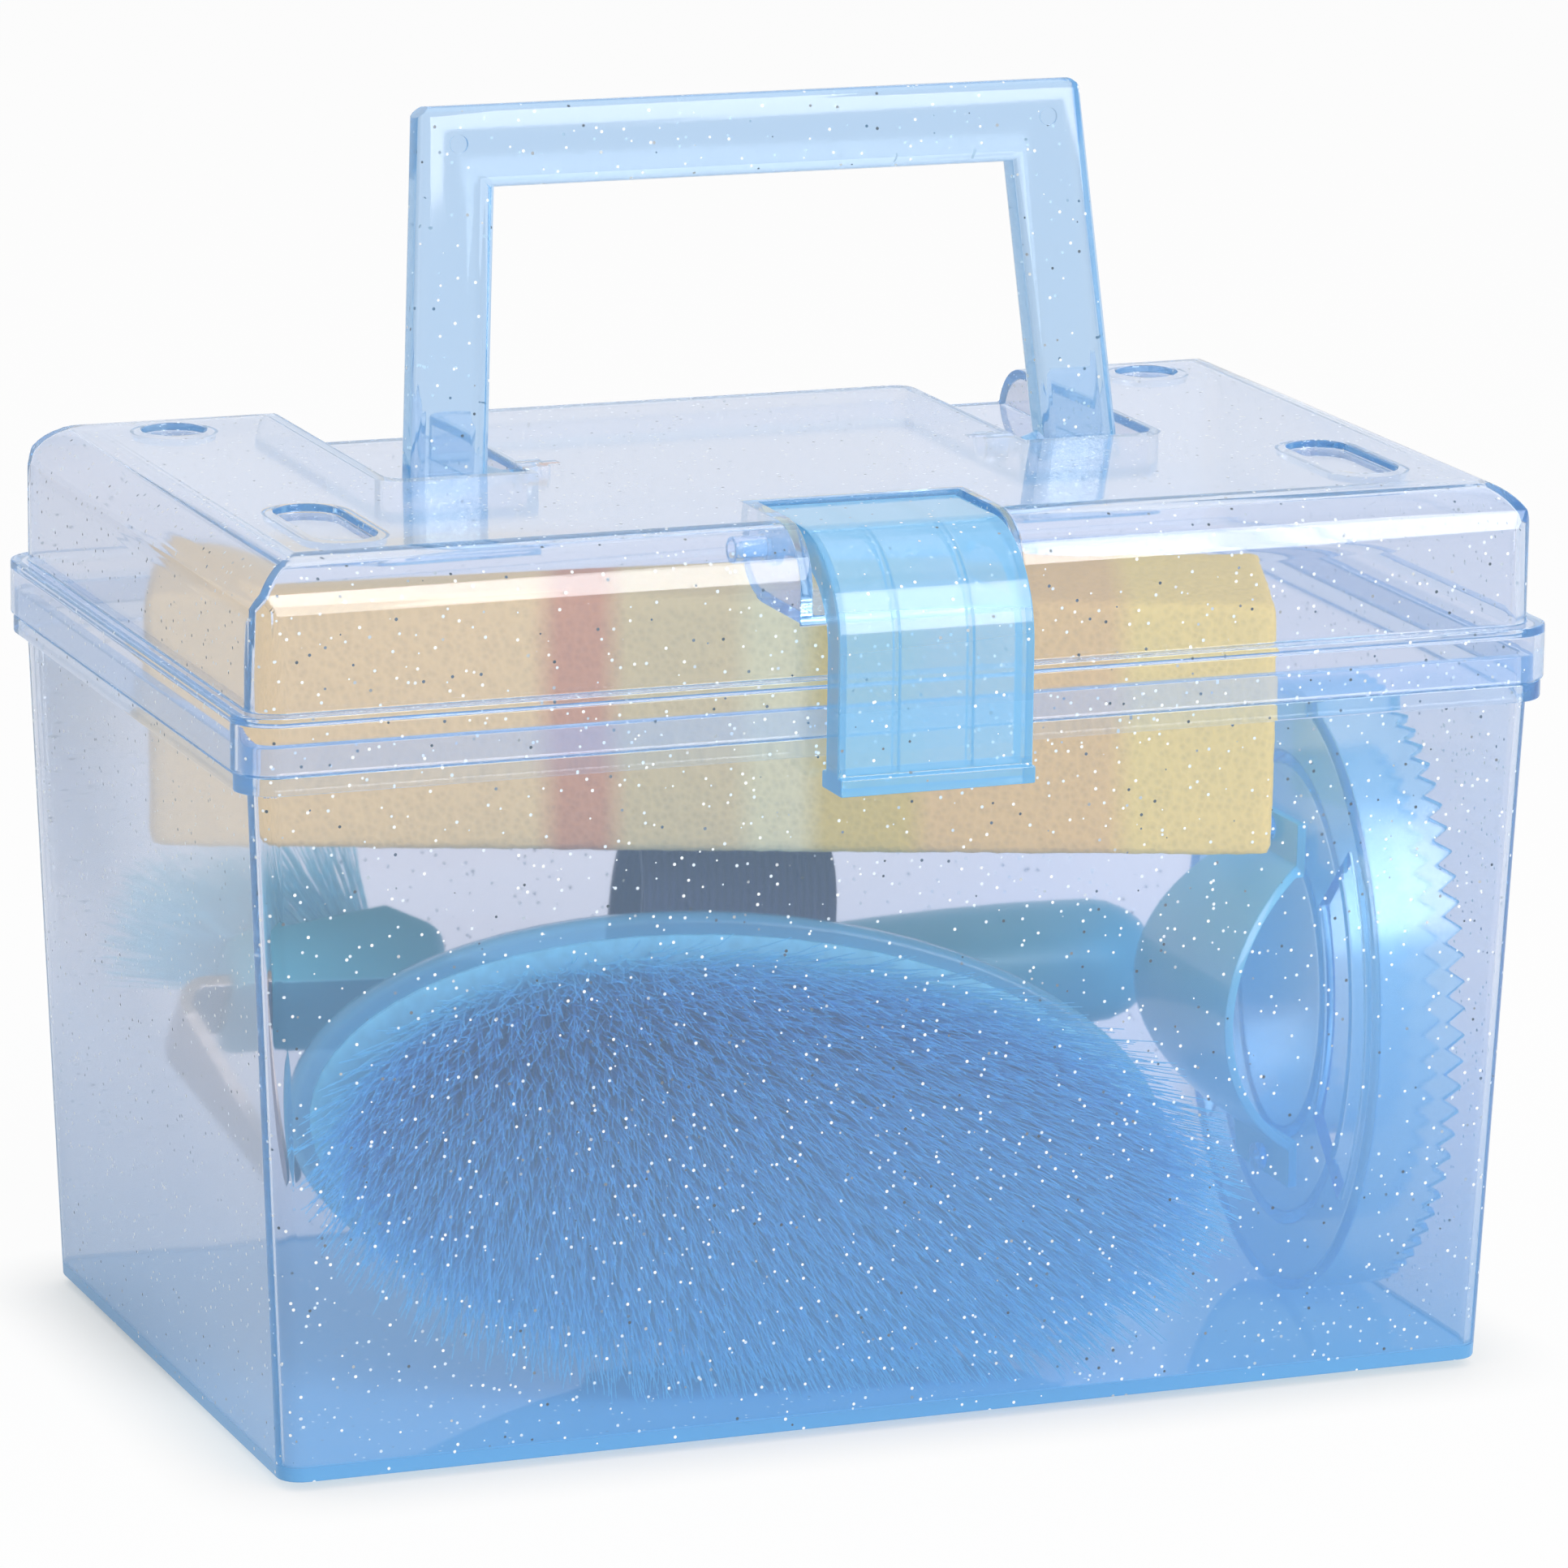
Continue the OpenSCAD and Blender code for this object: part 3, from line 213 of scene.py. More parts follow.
def clear_plastic(name, clear_tint, milk_colour, milk, dye, density, roughness, flake_r=FLAKE_R, foot_shade_milk=0.0):
    material, tree = new_material(name)
    here = add(tree, "ShaderNodeTexCoord").outputs["Object"]

    # Flakes
    cells = add(tree, "ShaderNodeTexVoronoi", {"Vector": here, "Scale": 1 / (FLAKE_PITCH * MM)}).outputs
    flake = add(tree, "ShaderNodeMath", {
        0: cells["Distance"], 1: flake_r / FLAKE_PITCH}, operation="LESS_THAN").outputs[0]
    chance = add(tree, "ShaderNodeSeparateColor", {"Color": cells["Color"]}).outputs[0]
    lie = add(tree, "ShaderNodeValToRGB", {"Fac": chance})
    for element, (position, tone) in zip(lie.color_ramp.elements, (DARK_FLAKE, BRIGHT_FLAKE)):
        element.position, element.color = position, hex_colour(tone)

    # Milk, by slant and by height, with painted shade towards the foot
    height = add(tree, "ShaderNodeSeparateXYZ", {"Vector": here}).outputs["Z"]
    base = add(tree, "ShaderNodeMath", {0: height, 1: BASE_TOP}, operation="LESS_THAN").outputs[0]
    rim = add(tree, "ShaderNodeMath", {0: height, 1: RIM_MIDDLE, 2: RIM_HALF}, operation="COMPARE").outputs[0]
    # Painted shade: a mask that grows from 75 mm down to the floor
    foot_shade = add(tree, "ShaderNodeMapRange", {"Value": height, "From Min": FOOT_SHADE_TOP, "From Max": 0.0}).outputs[0]
    slant = add(tree, "ShaderNodeLayerWeight", {"Blend": 0.5}).outputs["Facing"]
    cloud = add(tree, "ShaderNodeMapRange", {
        "Value": slant, "To Min": milk, "To Max": SLANT_MILK * milk}).outputs[0]
    for zone, frost in ((base, BASE_FROST), (rim, RIM_FROST), (foot_shade, foot_shade_milk)):
        cloud = add(tree, "ShaderNodeMath", {0: zone, 1: frost, 2: cloud}, operation="MULTIPLY_ADD").outputs[0]
    share = add(tree, "ShaderNodeMath", {0: flake, 1: cloud}, operation="MAXIMUM").outputs[0]

    # Clear plastic, with milk and flakes in it
    # The milk turns bluer towards the foot: painted shade with blue bounce light
    clouded = add(tree, "ShaderNodeMix", {
        0: foot_shade, 6: hex_colour(milk_colour), 7: hex_colour(FOOT_SHADE_BLUE)}, data_type="RGBA")
    colour = add(tree, "ShaderNodeMix", {
        0: flake, 6: clouded.outputs[2], 7: lie.outputs["Color"]}, data_type="RGBA")
    cloudy = add(tree, "ShaderNodeBsdfPrincipled", {
        "Base Color": colour.outputs[2], "Roughness": roughness, "IOR": MOULDED_IOR})
    glass = add(tree, "ShaderNodeBsdfPrincipled", {
        "Base Color": hex_colour(clear_tint), "Roughness": roughness, "IOR": MOULDED_IOR,
        "Transmission Weight": 1.0})
    body = add(tree, "ShaderNodeMixShader", {0: share, 1: glass.outputs[0], 2: cloudy.outputs[0]})

    # Lamp light goes through the walls to the tools
    rays = add(tree, "ShaderNodeLightPath").outputs
    lamp_light = add(tree, "ShaderNodeMath", {
        0: rays["Is Shadow Ray"], 1: rays["Is Diffuse Ray"]}, operation="MAXIMUM")
    passing = add(tree, "ShaderNodeBsdfTransparent", {"Color": LAMP_TINT})
    mix = add(tree, "ShaderNodeMixShader", {0: lamp_light.outputs[0], 1: body.outputs[0], 2: passing.outputs[0]})
    depth = add(tree, "ShaderNodeVolumeAbsorption", {"Color": dye, "Density": density})
    add(tree, "ShaderNodeOutputMaterial", {"Surface": mix.outputs[0], "Volume": depth.outputs[0]})
    return material


DYE = (0.06, 0.59, 0.87, 1)
LATCH_DYE = (0.04, 0.64, 0.9, 1)
shell_plastic = clear_plastic(
    "pale_blue_glitter_plastic", "#fdfaff", "#98c9fc", 0.075, DYE, 16, 0.045, foot_shade_milk=FOOT_SHADE_MILK)
thick_plastic = clear_plastic("pale_blue_glitter_plastic_thick", "#f4f5fc", "#8cc8f8", 0.2, DYE, 24, 0.045)
latch_plastic = clear_plastic("sky_blue_latch_plastic", "#f6fbfe", "#8bcefa", 0.32, LATCH_DYE, 60, 0.08)
print("flake every", FLAKE_PITCH, "mm,", 2 * FLAKE_R, "mm wide")

# %% [markdown]
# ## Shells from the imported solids
# The tub, lid, handle and latch already have their true shape, but as loose triangles with knife-sharp edges. A
# copy is merged, its flat faces are joined, and its curves are smoothed. Its edges get the small radius of a
# moulded part wherever their neighbours leave room; where a rounding folds over, the edges near it stay sharp and
# it is tried again. It could all be modelled again by hand, but a copy stays exactly on the solid.

# %% Helpers that copy and finish a solid
def take(*pieces):
    if bpy.context.mode != "OBJECT":
        bpy.ops.object.mode_set(mode="OBJECT")
    bpy.ops.object.select_all(action="DESELECT")
    for piece in pieces:
        piece.select_set(True)
    bpy.context.view_layer.objects.active = pieces[0]


SEAM, SLIVER = 0.004 * MM, 0.01 * MM
SAME_FACE = math.radians(0.4)


def copy_of(node, name, sliver=SLIVER):
    piece = bpy.data.objects.new(name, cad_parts[node].data.copy())
    bpy.context.scene.collection.objects.link(piece)
    take(piece)
    if piece.data.has_custom_normals:
        bpy.ops.mesh.customdata_custom_splitnormals_clear()
    bpy.ops.object.mode_set(mode="EDIT")
    bpy.ops.mesh.select_all(action="SELECT")
    bpy.ops.mesh.mark_sharp(clear=True)
    bpy.ops.mesh.remove_doubles(threshold=SEAM)
    if sliver:
        bpy.ops.mesh.dissolve_degenerate(threshold=sliver)
    bpy.ops.mesh.dissolve_limited(angle_limit=SAME_FACE)
    bpy.ops.object.mode_set(mode="OBJECT")
    return piece


ROOM = 2.2        # an edge is rounded where its neighbours are this many radii long
FOLDED = 2.5      # radians between two faces that lie back on each other
FOLD_REACH = 4    # radii around a fold in which edges stay sharp on the next try
RUNS_ON = -0.3    # two edges with a lower dot product run on through their corner
TRIES = 5


def roomy_edges(mesh, radius, from_angle, folds):
    sharp = {e for e in mesh.edges if e.calc_face_angle(0.0) > math.radians(from_angle)}
    tight = set()
    for corner in mesh.verts:
        mine = [e for e in corner.link_edges if e in sharp]
        beside = [e for e in corner.link_edges if e not in sharp]
        ways = [(e.other_vert(corner).co - corner.co).normalized() for e in mine]
        if len(mine) != 2 or ways[0].dot(ways[1]) > RUNS_ON:
            beside += mine
        if any(e.calc_length() < ROOM * radius for e in beside):
            tight.add(corner)
        elif any((corner.co - fold).length < FOLD_REACH * radius for fold in folds):
            tight.add(corner)
    return [e for e in sharp if not tight.intersection(e.verts)]


def round_edges(piece, radius, steps, from_angle):
    knife_sharp = piece.data.copy()
    folds = []
    for attempt in range(TRIES):
        mesh = bmesh.new()
        mesh.from_mesh(knife_sharp)
        weight = mesh.edges.layers.float.new("bevel_weight_edge")
        for edge in roomy_edges(mesh, radius, from_angle, folds):
            edge[weight] = 1.0
        mesh.to_mesh(piece.data)
        moulded = piece.modifiers.new("moulded_edge", "BEVEL")
        moulded.width, moulded.segments, moulded.limit_method = radius, steps, "WEIGHT"
        moulded.use_clamp_overlap = False
        bpy.ops.object.modifier_apply(modifier=moulded.name)
        mesh.clear()
        mesh.from_mesh(piece.data)
        folded = [e for e in mesh.edges if e.calc_face_angle(0.0) > FOLDED]
        found = [(e.verts[0].co + e.verts[1].co) / 2 for e in folded]
        mesh.free()
        if not found:
            break
        folds += found
    bpy.data.meshes.remove(knife_sharp)
    print(piece.name, "edges rounded in", attempt + 1, "tries, folds left:", len(found))


def soften(piece, radius, steps=2, from_angle=32, smooth_angle=38):
    take(piece)
    if radius:
        round_edges(piece, radius, steps, from_angle)
    bpy.ops.object.shade_smooth_by_angle(angle=math.radians(smooth_angle))
    flats = piece.modifiers.new("true_flats", "WEIGHTED_NORMAL")
    flats.keep_sharp = True
    bpy.ops.object.modifier_apply(modifier=flats.name)


def settle(piece, body, slot, material, *nodes):
    piece.data.materials.clear()
    piece.data.materials.append(material)
    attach(piece, body)
    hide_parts(*nodes)
    print(piece.name, "on", body, "-", len(piece.data.polygons), "faces")


# %% Tub, lid, handle and latch
tub = copy_of("box_body", "tub_shell")
soften(tub, 0.45 * MM)
settle(tub, "tub", "clear_blue_plastic", shell_plastic, "box_body")

lid = copy_of("lid", "lid_shell")
soften(lid, 0.45 * MM)
settle(lid, "lid", "clear_blue_plastic", shell_plastic, "lid")

handle = copy_of("handle", "carrying_handle")
soften(handle, 0)
settle(handle, "handle", "clear_blue_plastic", thick_plastic, "handle")

latch = copy_of("latch", "snap_latch")
soften(latch, 0.4 * MM)
settle(latch, "latch", "sky_blue_plastic", latch_plastic, "latch")

# %% [markdown]
# ## Sponge
# A cut block of soft foam, a little crowned on every face, with open pores. A cube is set to the block's size,
# and its edges are bevelled. A voxel remesh then gives an even skin, which can crown and take a relief of pores.

# %% Sponge block
SPONGE_SIZE = Vector((205.24, 48, 49)) * MM
SPONGE_CORNER = Vector((-116.06, 13.379, 96.655)) * MM
SPONGE_TURN = math.radians(-20.497)
CROWN = 0.8 * MM
PORE_DEPTH, PORE_PITCH = 0.4 * MM, 2.6 * MM
CUT_EDGE, SKIN_GRID = 1.5 * MM, 1.5 * MM

take(tub)
bpy.ops.object.select_all(action="DESELECT")
bpy.ops.mesh.primitive_cube_add(size=1)
sponge = bpy.context.active_object
sponge.name = "foam_sponge"
sponge.scale = SPONGE_SIZE - Vector((2, 2, 2)) * (CROWN + PORE_DEPTH / 2)
bpy.ops.object.transform_apply(location=False, rotation=False, scale=True)
bpy.ops.object.mode_set(mode="EDIT")
bpy.ops.mesh.select_all(action="SELECT")
bpy.ops.mesh.bevel(offset=CUT_EDGE, segments=3, affect="EDGES")
bpy.ops.object.mode_set(mode="OBJECT")
skin = sponge.modifiers.new("even_skin", "REMESH")
skin.mode, skin.voxel_size = "VOXEL", SKIN_GRID
bpy.ops.object.modifier_apply(modifier=skin.name)
half = SPONGE_SIZE / 2
for vertex in sponge.data.vertices:
    share = [max(0.0, 1 - (vertex.co[k] / half[k]) ** 2) for k in range(3)]
    for k in range(3):
        vertex.co[k] += CROWN * share[k - 1] * share[k - 2] * vertex.co[k] / half[k]
pores = bpy.data.textures.new("open_pores", "VORONOI")
pores.noise_scale, pores.distance_metric = PORE_PITCH, "DISTANCE"
relief = sponge.modifiers.new("pores", "DISPLACE")
relief.texture, relief.texture_coords = pores, "LOCAL"
relief.strength, relief.mid_level = PORE_DEPTH, 0.6
bpy.ops.object.modifier_apply(modifier=relief.name)
sponge.matrix_world = (
    Matrix.Translation(SPONGE_CORNER) @ Matrix.Rotation(SPONGE_TURN, 4, "Z") @ Matrix.Translation(half)
)
bpy.ops.object.transform_apply(location=True, rotation=True, scale=True)
bpy.ops.object.shade_smooth()
print("sponge vertices:", len(sponge.data.vertices))

# %% [markdown]
# ## Foam
# Polyether foam is matt and porous. Its colour runs in bands along the block's length: tones of the foam with
# painted shade and light of a scalloped face, darker where a groove would be shaded and paler where a crest would
# be lit. A Mapping node turns the bands with the block; small cells paint shade into the pores.

# %% Foam in bands of tone
APRICOT, ROSE, STRAW, CREAM = "#fbd190", "#e09a68", "#eac88a", "#f1dca4"
MUSTARD, HONEY, YELLOW = "#e4c05c", "#f2c276", "#fcd778"
# Bands of foam tone with painted shade and light: the darker bands stand where grooves would be shaded
FOAM_TONES_AND_SHADE = [
    (APRICOT, 0.35), (ROSE, 0.06), (STRAW, 0.115), (CREAM, 0.06),
    (MUSTARD, 0.095), (HONEY, 0.18), (YELLOW, 0.14),
]
BAND_BLEND = 0.012  # share of the length over which one band runs into the next
FOAM_BANDS = []
band_start = 0.0
for colour, band_share in FOAM_TONES_AND_SHADE:
    FOAM_BANDS += [(band_start + BAND_BLEND, colour), (band_start + band_share - BAND_BLEND, colour)]
    band_start += band_share
foam, tree = new_material("banded_polyether_foam")
here = add(tree, "ShaderNodeTexCoord").outputs["Object"]
moved = add(tree, "ShaderNodeVectorMath", {0: here, 1: SPONGE_CORNER}, operation="SUBTRACT").outputs[0]
along = add(tree, "ShaderNodeMapping", {"Vector": moved, "Rotation": (0, 0, -SPONGE_TURN)}).outputs[0]
length = add(tree, "ShaderNodeSeparateXYZ", {"Vector": along}).outputs["X"]
share = add(tree, "ShaderNodeMath", {0: length, 1: SPONGE_SIZE.x}, operation="DIVIDE").outputs[0]
bands = add(tree, "ShaderNodeValToRGB", {"Fac": share})
ramp = bands.color_ramp
while len(ramp.elements) < len(FOAM_BANDS):
    ramp.elements.new(0.5)
for element, (position, colour) in zip(ramp.elements, FOAM_BANDS):
    element.position, element.color = position, hex_colour(colour)
cells = add(tree, "ShaderNodeTexVoronoi", {"Vector": here, "Scale": 1 / (1.3 * MM)}).outputs["Distance"]
# Painted shade in the pores: the cell centres are darkened to 0.88
pore_shade = add(tree, "ShaderNodeMapRange", {
    "Value": cells, "From Min": 0.1, "From Max": 0.6, "To Min": 0.88, "To Max": 1.0}).outputs[0]
toned = add(tree, "ShaderNodeMix", {
    0: 1.0, 6: bands.outputs["Color"], 7: pore_shade}, data_type="RGBA", blend_type="MULTIPLY")
bump = add(tree, "ShaderNodeBump", {"Height": cells, "Strength": 0.4, "Distance": 0.4 * MM})
body = add(tree, "ShaderNodeBsdfPrincipled", {
    "Base Color": toned.outputs[2], "Roughness": 0.92, "Specular IOR Level": 0.2, "Normal": bump.outputs[0]})
add(tree, "ShaderNodeOutputMaterial", {"Surface": body.outputs[0]})
settle(sponge, "tub", "yellow_foam", foam, "sponge")

# %% [markdown]
# ## Body brush back
# The brush's back is an oval of clear blue plastic that thins towards its edge. A copy of the solid is smoothed.
# Its plastic is a tint that the eye sees through, mixed with a milky blue body: fewer bounces than glass needs.

# %% Milky tinted plastic and the brush's back
RIM_MILK = 0.3  # milk that is added where the eye looks along the plastic


def milky_plastic(name, tint, body_colour, milk, roughness):
    material, tree = new_material(name)
    here = add(tree, "ShaderNodeTexCoord").outputs["Object"]
    cloud = add(tree, "ShaderNodeTexNoise", {
        "Vector": here, "Scale": 1 / (14 * MM), "Detail": 3.0}).outputs["Fac"]
    tone = add(tree, "ShaderNodeMapRange", {
        "Value": cloud, "From Min": 0.3, "From Max": 0.7, "To Min": 0.92, "To Max": 1.04}).outputs[0]
    colour = add(tree, "ShaderNodeMix", {
        0: 1.0, 6: hex_colour(body_colour), 7: tone}, data_type="RGBA", blend_type="MULTIPLY")
    body = add(tree, "ShaderNodeBsdfPrincipled", {
        "Base Color": colour.outputs[2], "Roughness": roughness, "IOR": MOULDED_IOR})
    clear = add(tree, "ShaderNodeBsdfTransparent", {"Color": hex_colour(tint)})
    rim = add(tree, "ShaderNodeLayerWeight", {"Blend": 0.35}).outputs["Facing"]
    share = add(tree, "ShaderNodeMapRange", {"Value": rim, "To Min": milk, "To Max": milk + RIM_MILK}).outputs[0]
    mix = add(tree, "ShaderNodeMixShader", {0: share, 1: clear.outputs[0], 2: body.outputs[0]})
    add(tree, "ShaderNodeOutputMaterial", {"Surface": mix.outputs[0]})
    return material


brush_plastic = milky_plastic("clear_blue_brush_plastic", "#c4e6f6", "#74c2e6", 0.45, 0.16)
brush_back = copy_of("body_brush_back", "brush_back")
soften(brush_back, 0, smooth_angle=50)
settle(brush_back, "tub", "brush_plastic", brush_plastic, "body_brush_back")

# %% [markdown]
# ## Bristles
# A tuft is a few nylon fibres out of one hole. One fibre is a slim three-sided cone, cut once and leaned at the
# cut, so that it curves. Six make a tuft, and the tuft is copied over the oval, each copy aimed outwards. The
# brush stands on its edge, so its tips droop, and a tip that would pass through the tub's floor is held above it.

# %% One tuft
def model_tuft(name, fibres, length, root_r, tip_r, spread, seed):
    chance = random.Random(seed)
    made = []
    for k in range(fibres):
        take(tub)
        bpy.ops.object.select_all(action="DESELECT")
        bpy.ops.mesh.primitive_cone_add(
            vertices=3, radius1=root_r, radius2=tip_r, depth=length, location=(0, 0, length / 2))
        fibre = bpy.context.active_object
        bpy.ops.object.transform_apply(location=True, rotation=True, scale=True)
        bpy.ops.object.mode_set(mode="EDIT")
        bpy.ops.mesh.select_all(action="SELECT")
        bpy.ops.mesh.bisect(plane_co=(0, 0, length * 0.55), plane_no=(0, 0, 1))
        bpy.ops.object.mode_set(mode="OBJECT")
        turn = 2 * math.pi * (k + chance.random()) / fibres
        lean = spread * (0.35 + 0.65 * chance.random())
        root = 0.25 * spread * Vector((math.cos(turn), math.sin(turn), 0))
        reach = 1 - 0.07 * chance.random()
        for vertex in fibre.data.vertices:
            height = vertex.co.z / length
            vertex.co += root + lean * height ** 1.6 * Vector((math.cos(turn), math.sin(turn), 0))
            vertex.co.z *= reach
        made.append(fibre)
    take(*made)
    bpy.ops.object.join()
    tuft = bpy.context.active_object
    tuft.name = name
    return tuft


def plant(tuft, stands, name):
    copies = []
    for stand in stands:
        copy = bpy.data.objects.new(name, tuft.data.copy())
        bpy.context.scene.collection.objects.link(copy)
        copy.matrix_world = stand
        copies.append(copy)
    take(*copies)
    bpy.ops.object.join()
    bpy.ops.object.transform_apply(location=True, rotation=True, scale=True)
    return bpy.context.active_object


def aim(root, tip, length, spin):
    way = tip - root
    turn = Vector((0, 0, 1)).rotation_difference(way).to_matrix().to_4x4()
    stretch = Matrix.Diagonal((1, 1, way.length / length, 1))
    return Matrix.Translation(root) @ turn @ Matrix.Rotation(spin, 4, "Z") @ stretch


# %% Bristles of the body brush
BRUSH_PLACE = Vector((-16.576, -25.769, 45.746)) * MM
BRUSH_TURN, BRUSH_TILT, BRUSH_ROLL = (math.radians(a) for a in (8, 5, 6))
BRUSH_A, BRUSH_B, BRUSH_FLARE, BRISTLE_LENGTH = 82.765 * MM, 40 * MM, 7 * MM, 27 * MM
BRUSH_PAD, BRUSH_EDGE, ROOT_SHARE, SUNK = 1.6 * MM, 3.5 * MM, 0.9, 0.6 * MM
TIP_A, TIP_B = BRUSH_A + BRUSH_FLARE - 2.4 * MM, BRUSH_B + BRUSH_FLARE / 2 - 2.2 * MM
TUFTS, FIBRES, ROOT_R, TIP_R = 2000, 6, 0.22 * MM, 0.08 * MM
GOLDEN_ANGLE = math.radians(137.508)
DROOP, TUB_FLOOR = Vector((3, 0, -6)) * MM, 3.7 * MM
brush_frame = (
    Matrix.Translation(BRUSH_PLACE) @ Matrix.Rotation(-BRUSH_TURN, 4, "Z")
    @ Matrix.Rotation(-BRUSH_TILT, 4, "X") @ Matrix.Rotation(BRUSH_ROLL, 4, "Y")
    @ Matrix.Rotation(math.radians(90), 4, "X")
)
tuft = model_tuft("brush_tuft", FIBRES, BRISTLE_LENGTH, ROOT_R, TIP_R, 3.8 * MM, 3)
chance = random.Random(11)
stands = []
for i in range(TUFTS):
    spread = math.sqrt((i + 0.5) / TUFTS)
    turn = i * GOLDEN_ANGLE
    unit = Vector((spread * math.cos(turn), spread * math.sin(turn), 0))
    root = Vector((
        ROOT_SHARE * (BRUSH_A - BRUSH_EDGE) * unit.x, ROOT_SHARE * (BRUSH_B - BRUSH_EDGE) * unit.y, BRUSH_PAD - SUNK))
    sway = Vector((chance.uniform(-1, 1), chance.uniform(-1, 1), chance.uniform(-1.4, 0))) * MM
    tip = Vector((TIP_A * unit.x, TIP_B * unit.y, BRISTLE_LENGTH)) + sway
    tip = brush_frame @ tip + DROOP
    tip.z = max(tip.z, TUB_FLOOR + (1.5 + chance.random()) * MM)
    stands.append(aim(brush_frame @ root, tip, BRISTLE_LENGTH, chance.uniform(0, 2 * math.pi)))
bristles = plant(tuft, stands, "brush_bristles")

bpy.ops.object.select_all(action="DESELECT")
bpy.ops.mesh.primitive_cylinder_add(vertices=64, radius=1, depth=BRUSH_PAD, location=(0, 0, BRUSH_PAD / 2))
pad = bpy.context.active_object
pad.scale = (BRUSH_A - BRUSH_EDGE, BRUSH_B - BRUSH_EDGE, 1)
bpy.ops.object.transform_apply(location=True, rotation=True, scale=True)
pad.matrix_world = brush_frame
bpy.ops.object.transform_apply(location=True, rotation=True, scale=True)
take(bristles, pad)
bpy.ops.object.join()
bpy.data.objects.remove(tuft)
print("bristle triangles:", sum(len(p.vertices) - 2 for p in bristles.data.polygons))

# %% [markdown]
# ## Nylon fibre
# Drawn nylon is glossy and lets some light through, so a field of fibres glows at its rim and deepens where the
# fibres shade each other. A fine noise varies the tone. The body brush's roots are painted a paler blue than its
# tips: painted light, which keeps the gaps between the tufts, where little light gets down, from going dark.

# %% Nylon of both brushes
NYLON_IOR = 1.53
THROUGH_FIBRE = 0.62  # share of the light that leaves a fibre on its far side


def nylon(name, root_colour, tip_colour, frame_turn, root_z, tip_z):
    material, tree = new_material(name)
    here = add(tree, "ShaderNodeTexCoord").outputs["Object"]
    inverse = frame_turn.inverted()
    local = add(tree, "ShaderNodeMapping", {
        "Vector": here, "Rotation": tuple(inverse.to_euler("XYZ")), "Location": tuple(inverse.to_translation())})
    height = add(tree, "ShaderNodeSeparateXYZ", {"Vector": local.outputs[0]}).outputs["Z"]
    grain = add(tree, "ShaderNodeTexNoise", {
        "Vector": here, "Scale": 1 / (2.2 * MM), "Detail": 2.0}).outputs["Fac"]
    level = add(tree, "ShaderNodeMapRange", {"Value": height, "From Min": root_z, "From Max": tip_z}).outputs[0]
    mixed = add(tree, "ShaderNodeMix", {
        0: level, 6: hex_colour(root_colour), 7: hex_colour(tip_colour)}, data_type="RGBA")
    tone = add(tree, "ShaderNodeMapRange", {
        "Value": grain, "From Min": 0.3, "From Max": 0.7, "To Min": 0.9, "To Max": 1.06}).outputs[0]
    colour = add(tree, "ShaderNodeMix", {
        0: 1.0, 6: mixed.outputs[2], 7: tone}, data_type="RGBA", blend_type="MULTIPLY").outputs[2]
    body = add(tree, "ShaderNodeBsdfPrincipled", {"Base Color": colour, "Roughness": 0.38, "IOR": NYLON_IOR})
    through = add(tree, "ShaderNodeBsdfTranslucent", {"Color": colour})
    mix = add(tree, "ShaderNodeMixShader", {0: THROUGH_FIBRE, 1: body.outputs[0], 2: through.outputs[0]})
    add(tree, "ShaderNodeOutputMaterial", {"Surface": mix.outputs[0]})
    return material


# The paler root colour here is painted light against the shade between the tufts
blue_nylon = nylon("blue_nylon_bristle", "#b4f0ff", "#90dcfa", brush_frame, 4 * MM, 27 * MM)
settle(bristles, "tub", "blue_bristle", blue_nylon, "body_brush_bristles")

# %% [markdown]
# ## Hand strap and rivets
# The strap is navy webbing, riveted to the brush's back. Webbing is ribbed along its length by its warp threads,
# so a copy of the solid gets soft edges and a fine rib across its width, about one thread every 1.5 mm.

# %% Webbing strap
WARP_PITCH, WEFT_GRAIN = 1.5 * MM, 0.9 * MM
WAVE_SCALE = 0.314  # a Wave texture repeats every 0.314 units at a scale of 1
webbing, tree = new_material("navy_polypropylene_webbing")
here = add(tree, "ShaderNodeTexCoord").outputs["Object"]
inverse = brush_frame.inverted()
local = add(tree, "ShaderNodeMapping", {
    "Vector": here, "Rotation": tuple(inverse.to_euler("XYZ")), "Location": tuple(inverse.to_translation()),
}).outputs[0]
warp = add(tree, "ShaderNodeTexWave", {
    "Vector": local, "Scale": WAVE_SCALE / WARP_PITCH, "Distortion": 0.4, "Detail": 1.0,
}, bands_direction="X").outputs["Fac"]
weft = add(tree, "ShaderNodeTexNoise", {"Vector": local, "Scale": 1 / WEFT_GRAIN, "Detail": 2.0}).outputs["Fac"]
threads = add(tree, "ShaderNodeMath", {0: warp, 1: weft}, operation="MULTIPLY").outputs[0]
colour = add(tree, "ShaderNodeMix", {
    0: threads, 6: hex_colour("#15172c"), 7: hex_colour("#34375a")}, data_type="RGBA").outputs[2]
bump = add(tree, "ShaderNodeBump", {"Height": threads, "Strength": 0.7, "Distance": 0.4 * MM})
body = add(tree, "ShaderNodeBsdfPrincipled", {
    "Base Color": colour, "Roughness": 0.78, "Sheen Weight": 0.25, "Sheen Roughness": 0.5,
    "Normal": bump.outputs[0]})
add(tree, "ShaderNodeOutputMaterial", {"Surface": body.outputs[0]})

strap = copy_of("body_brush_strap", "brush_hand_strap")
soften(strap, 0.4 * MM)
settle(strap, "tub", "navy_webbing", webbing, "body_brush_strap")

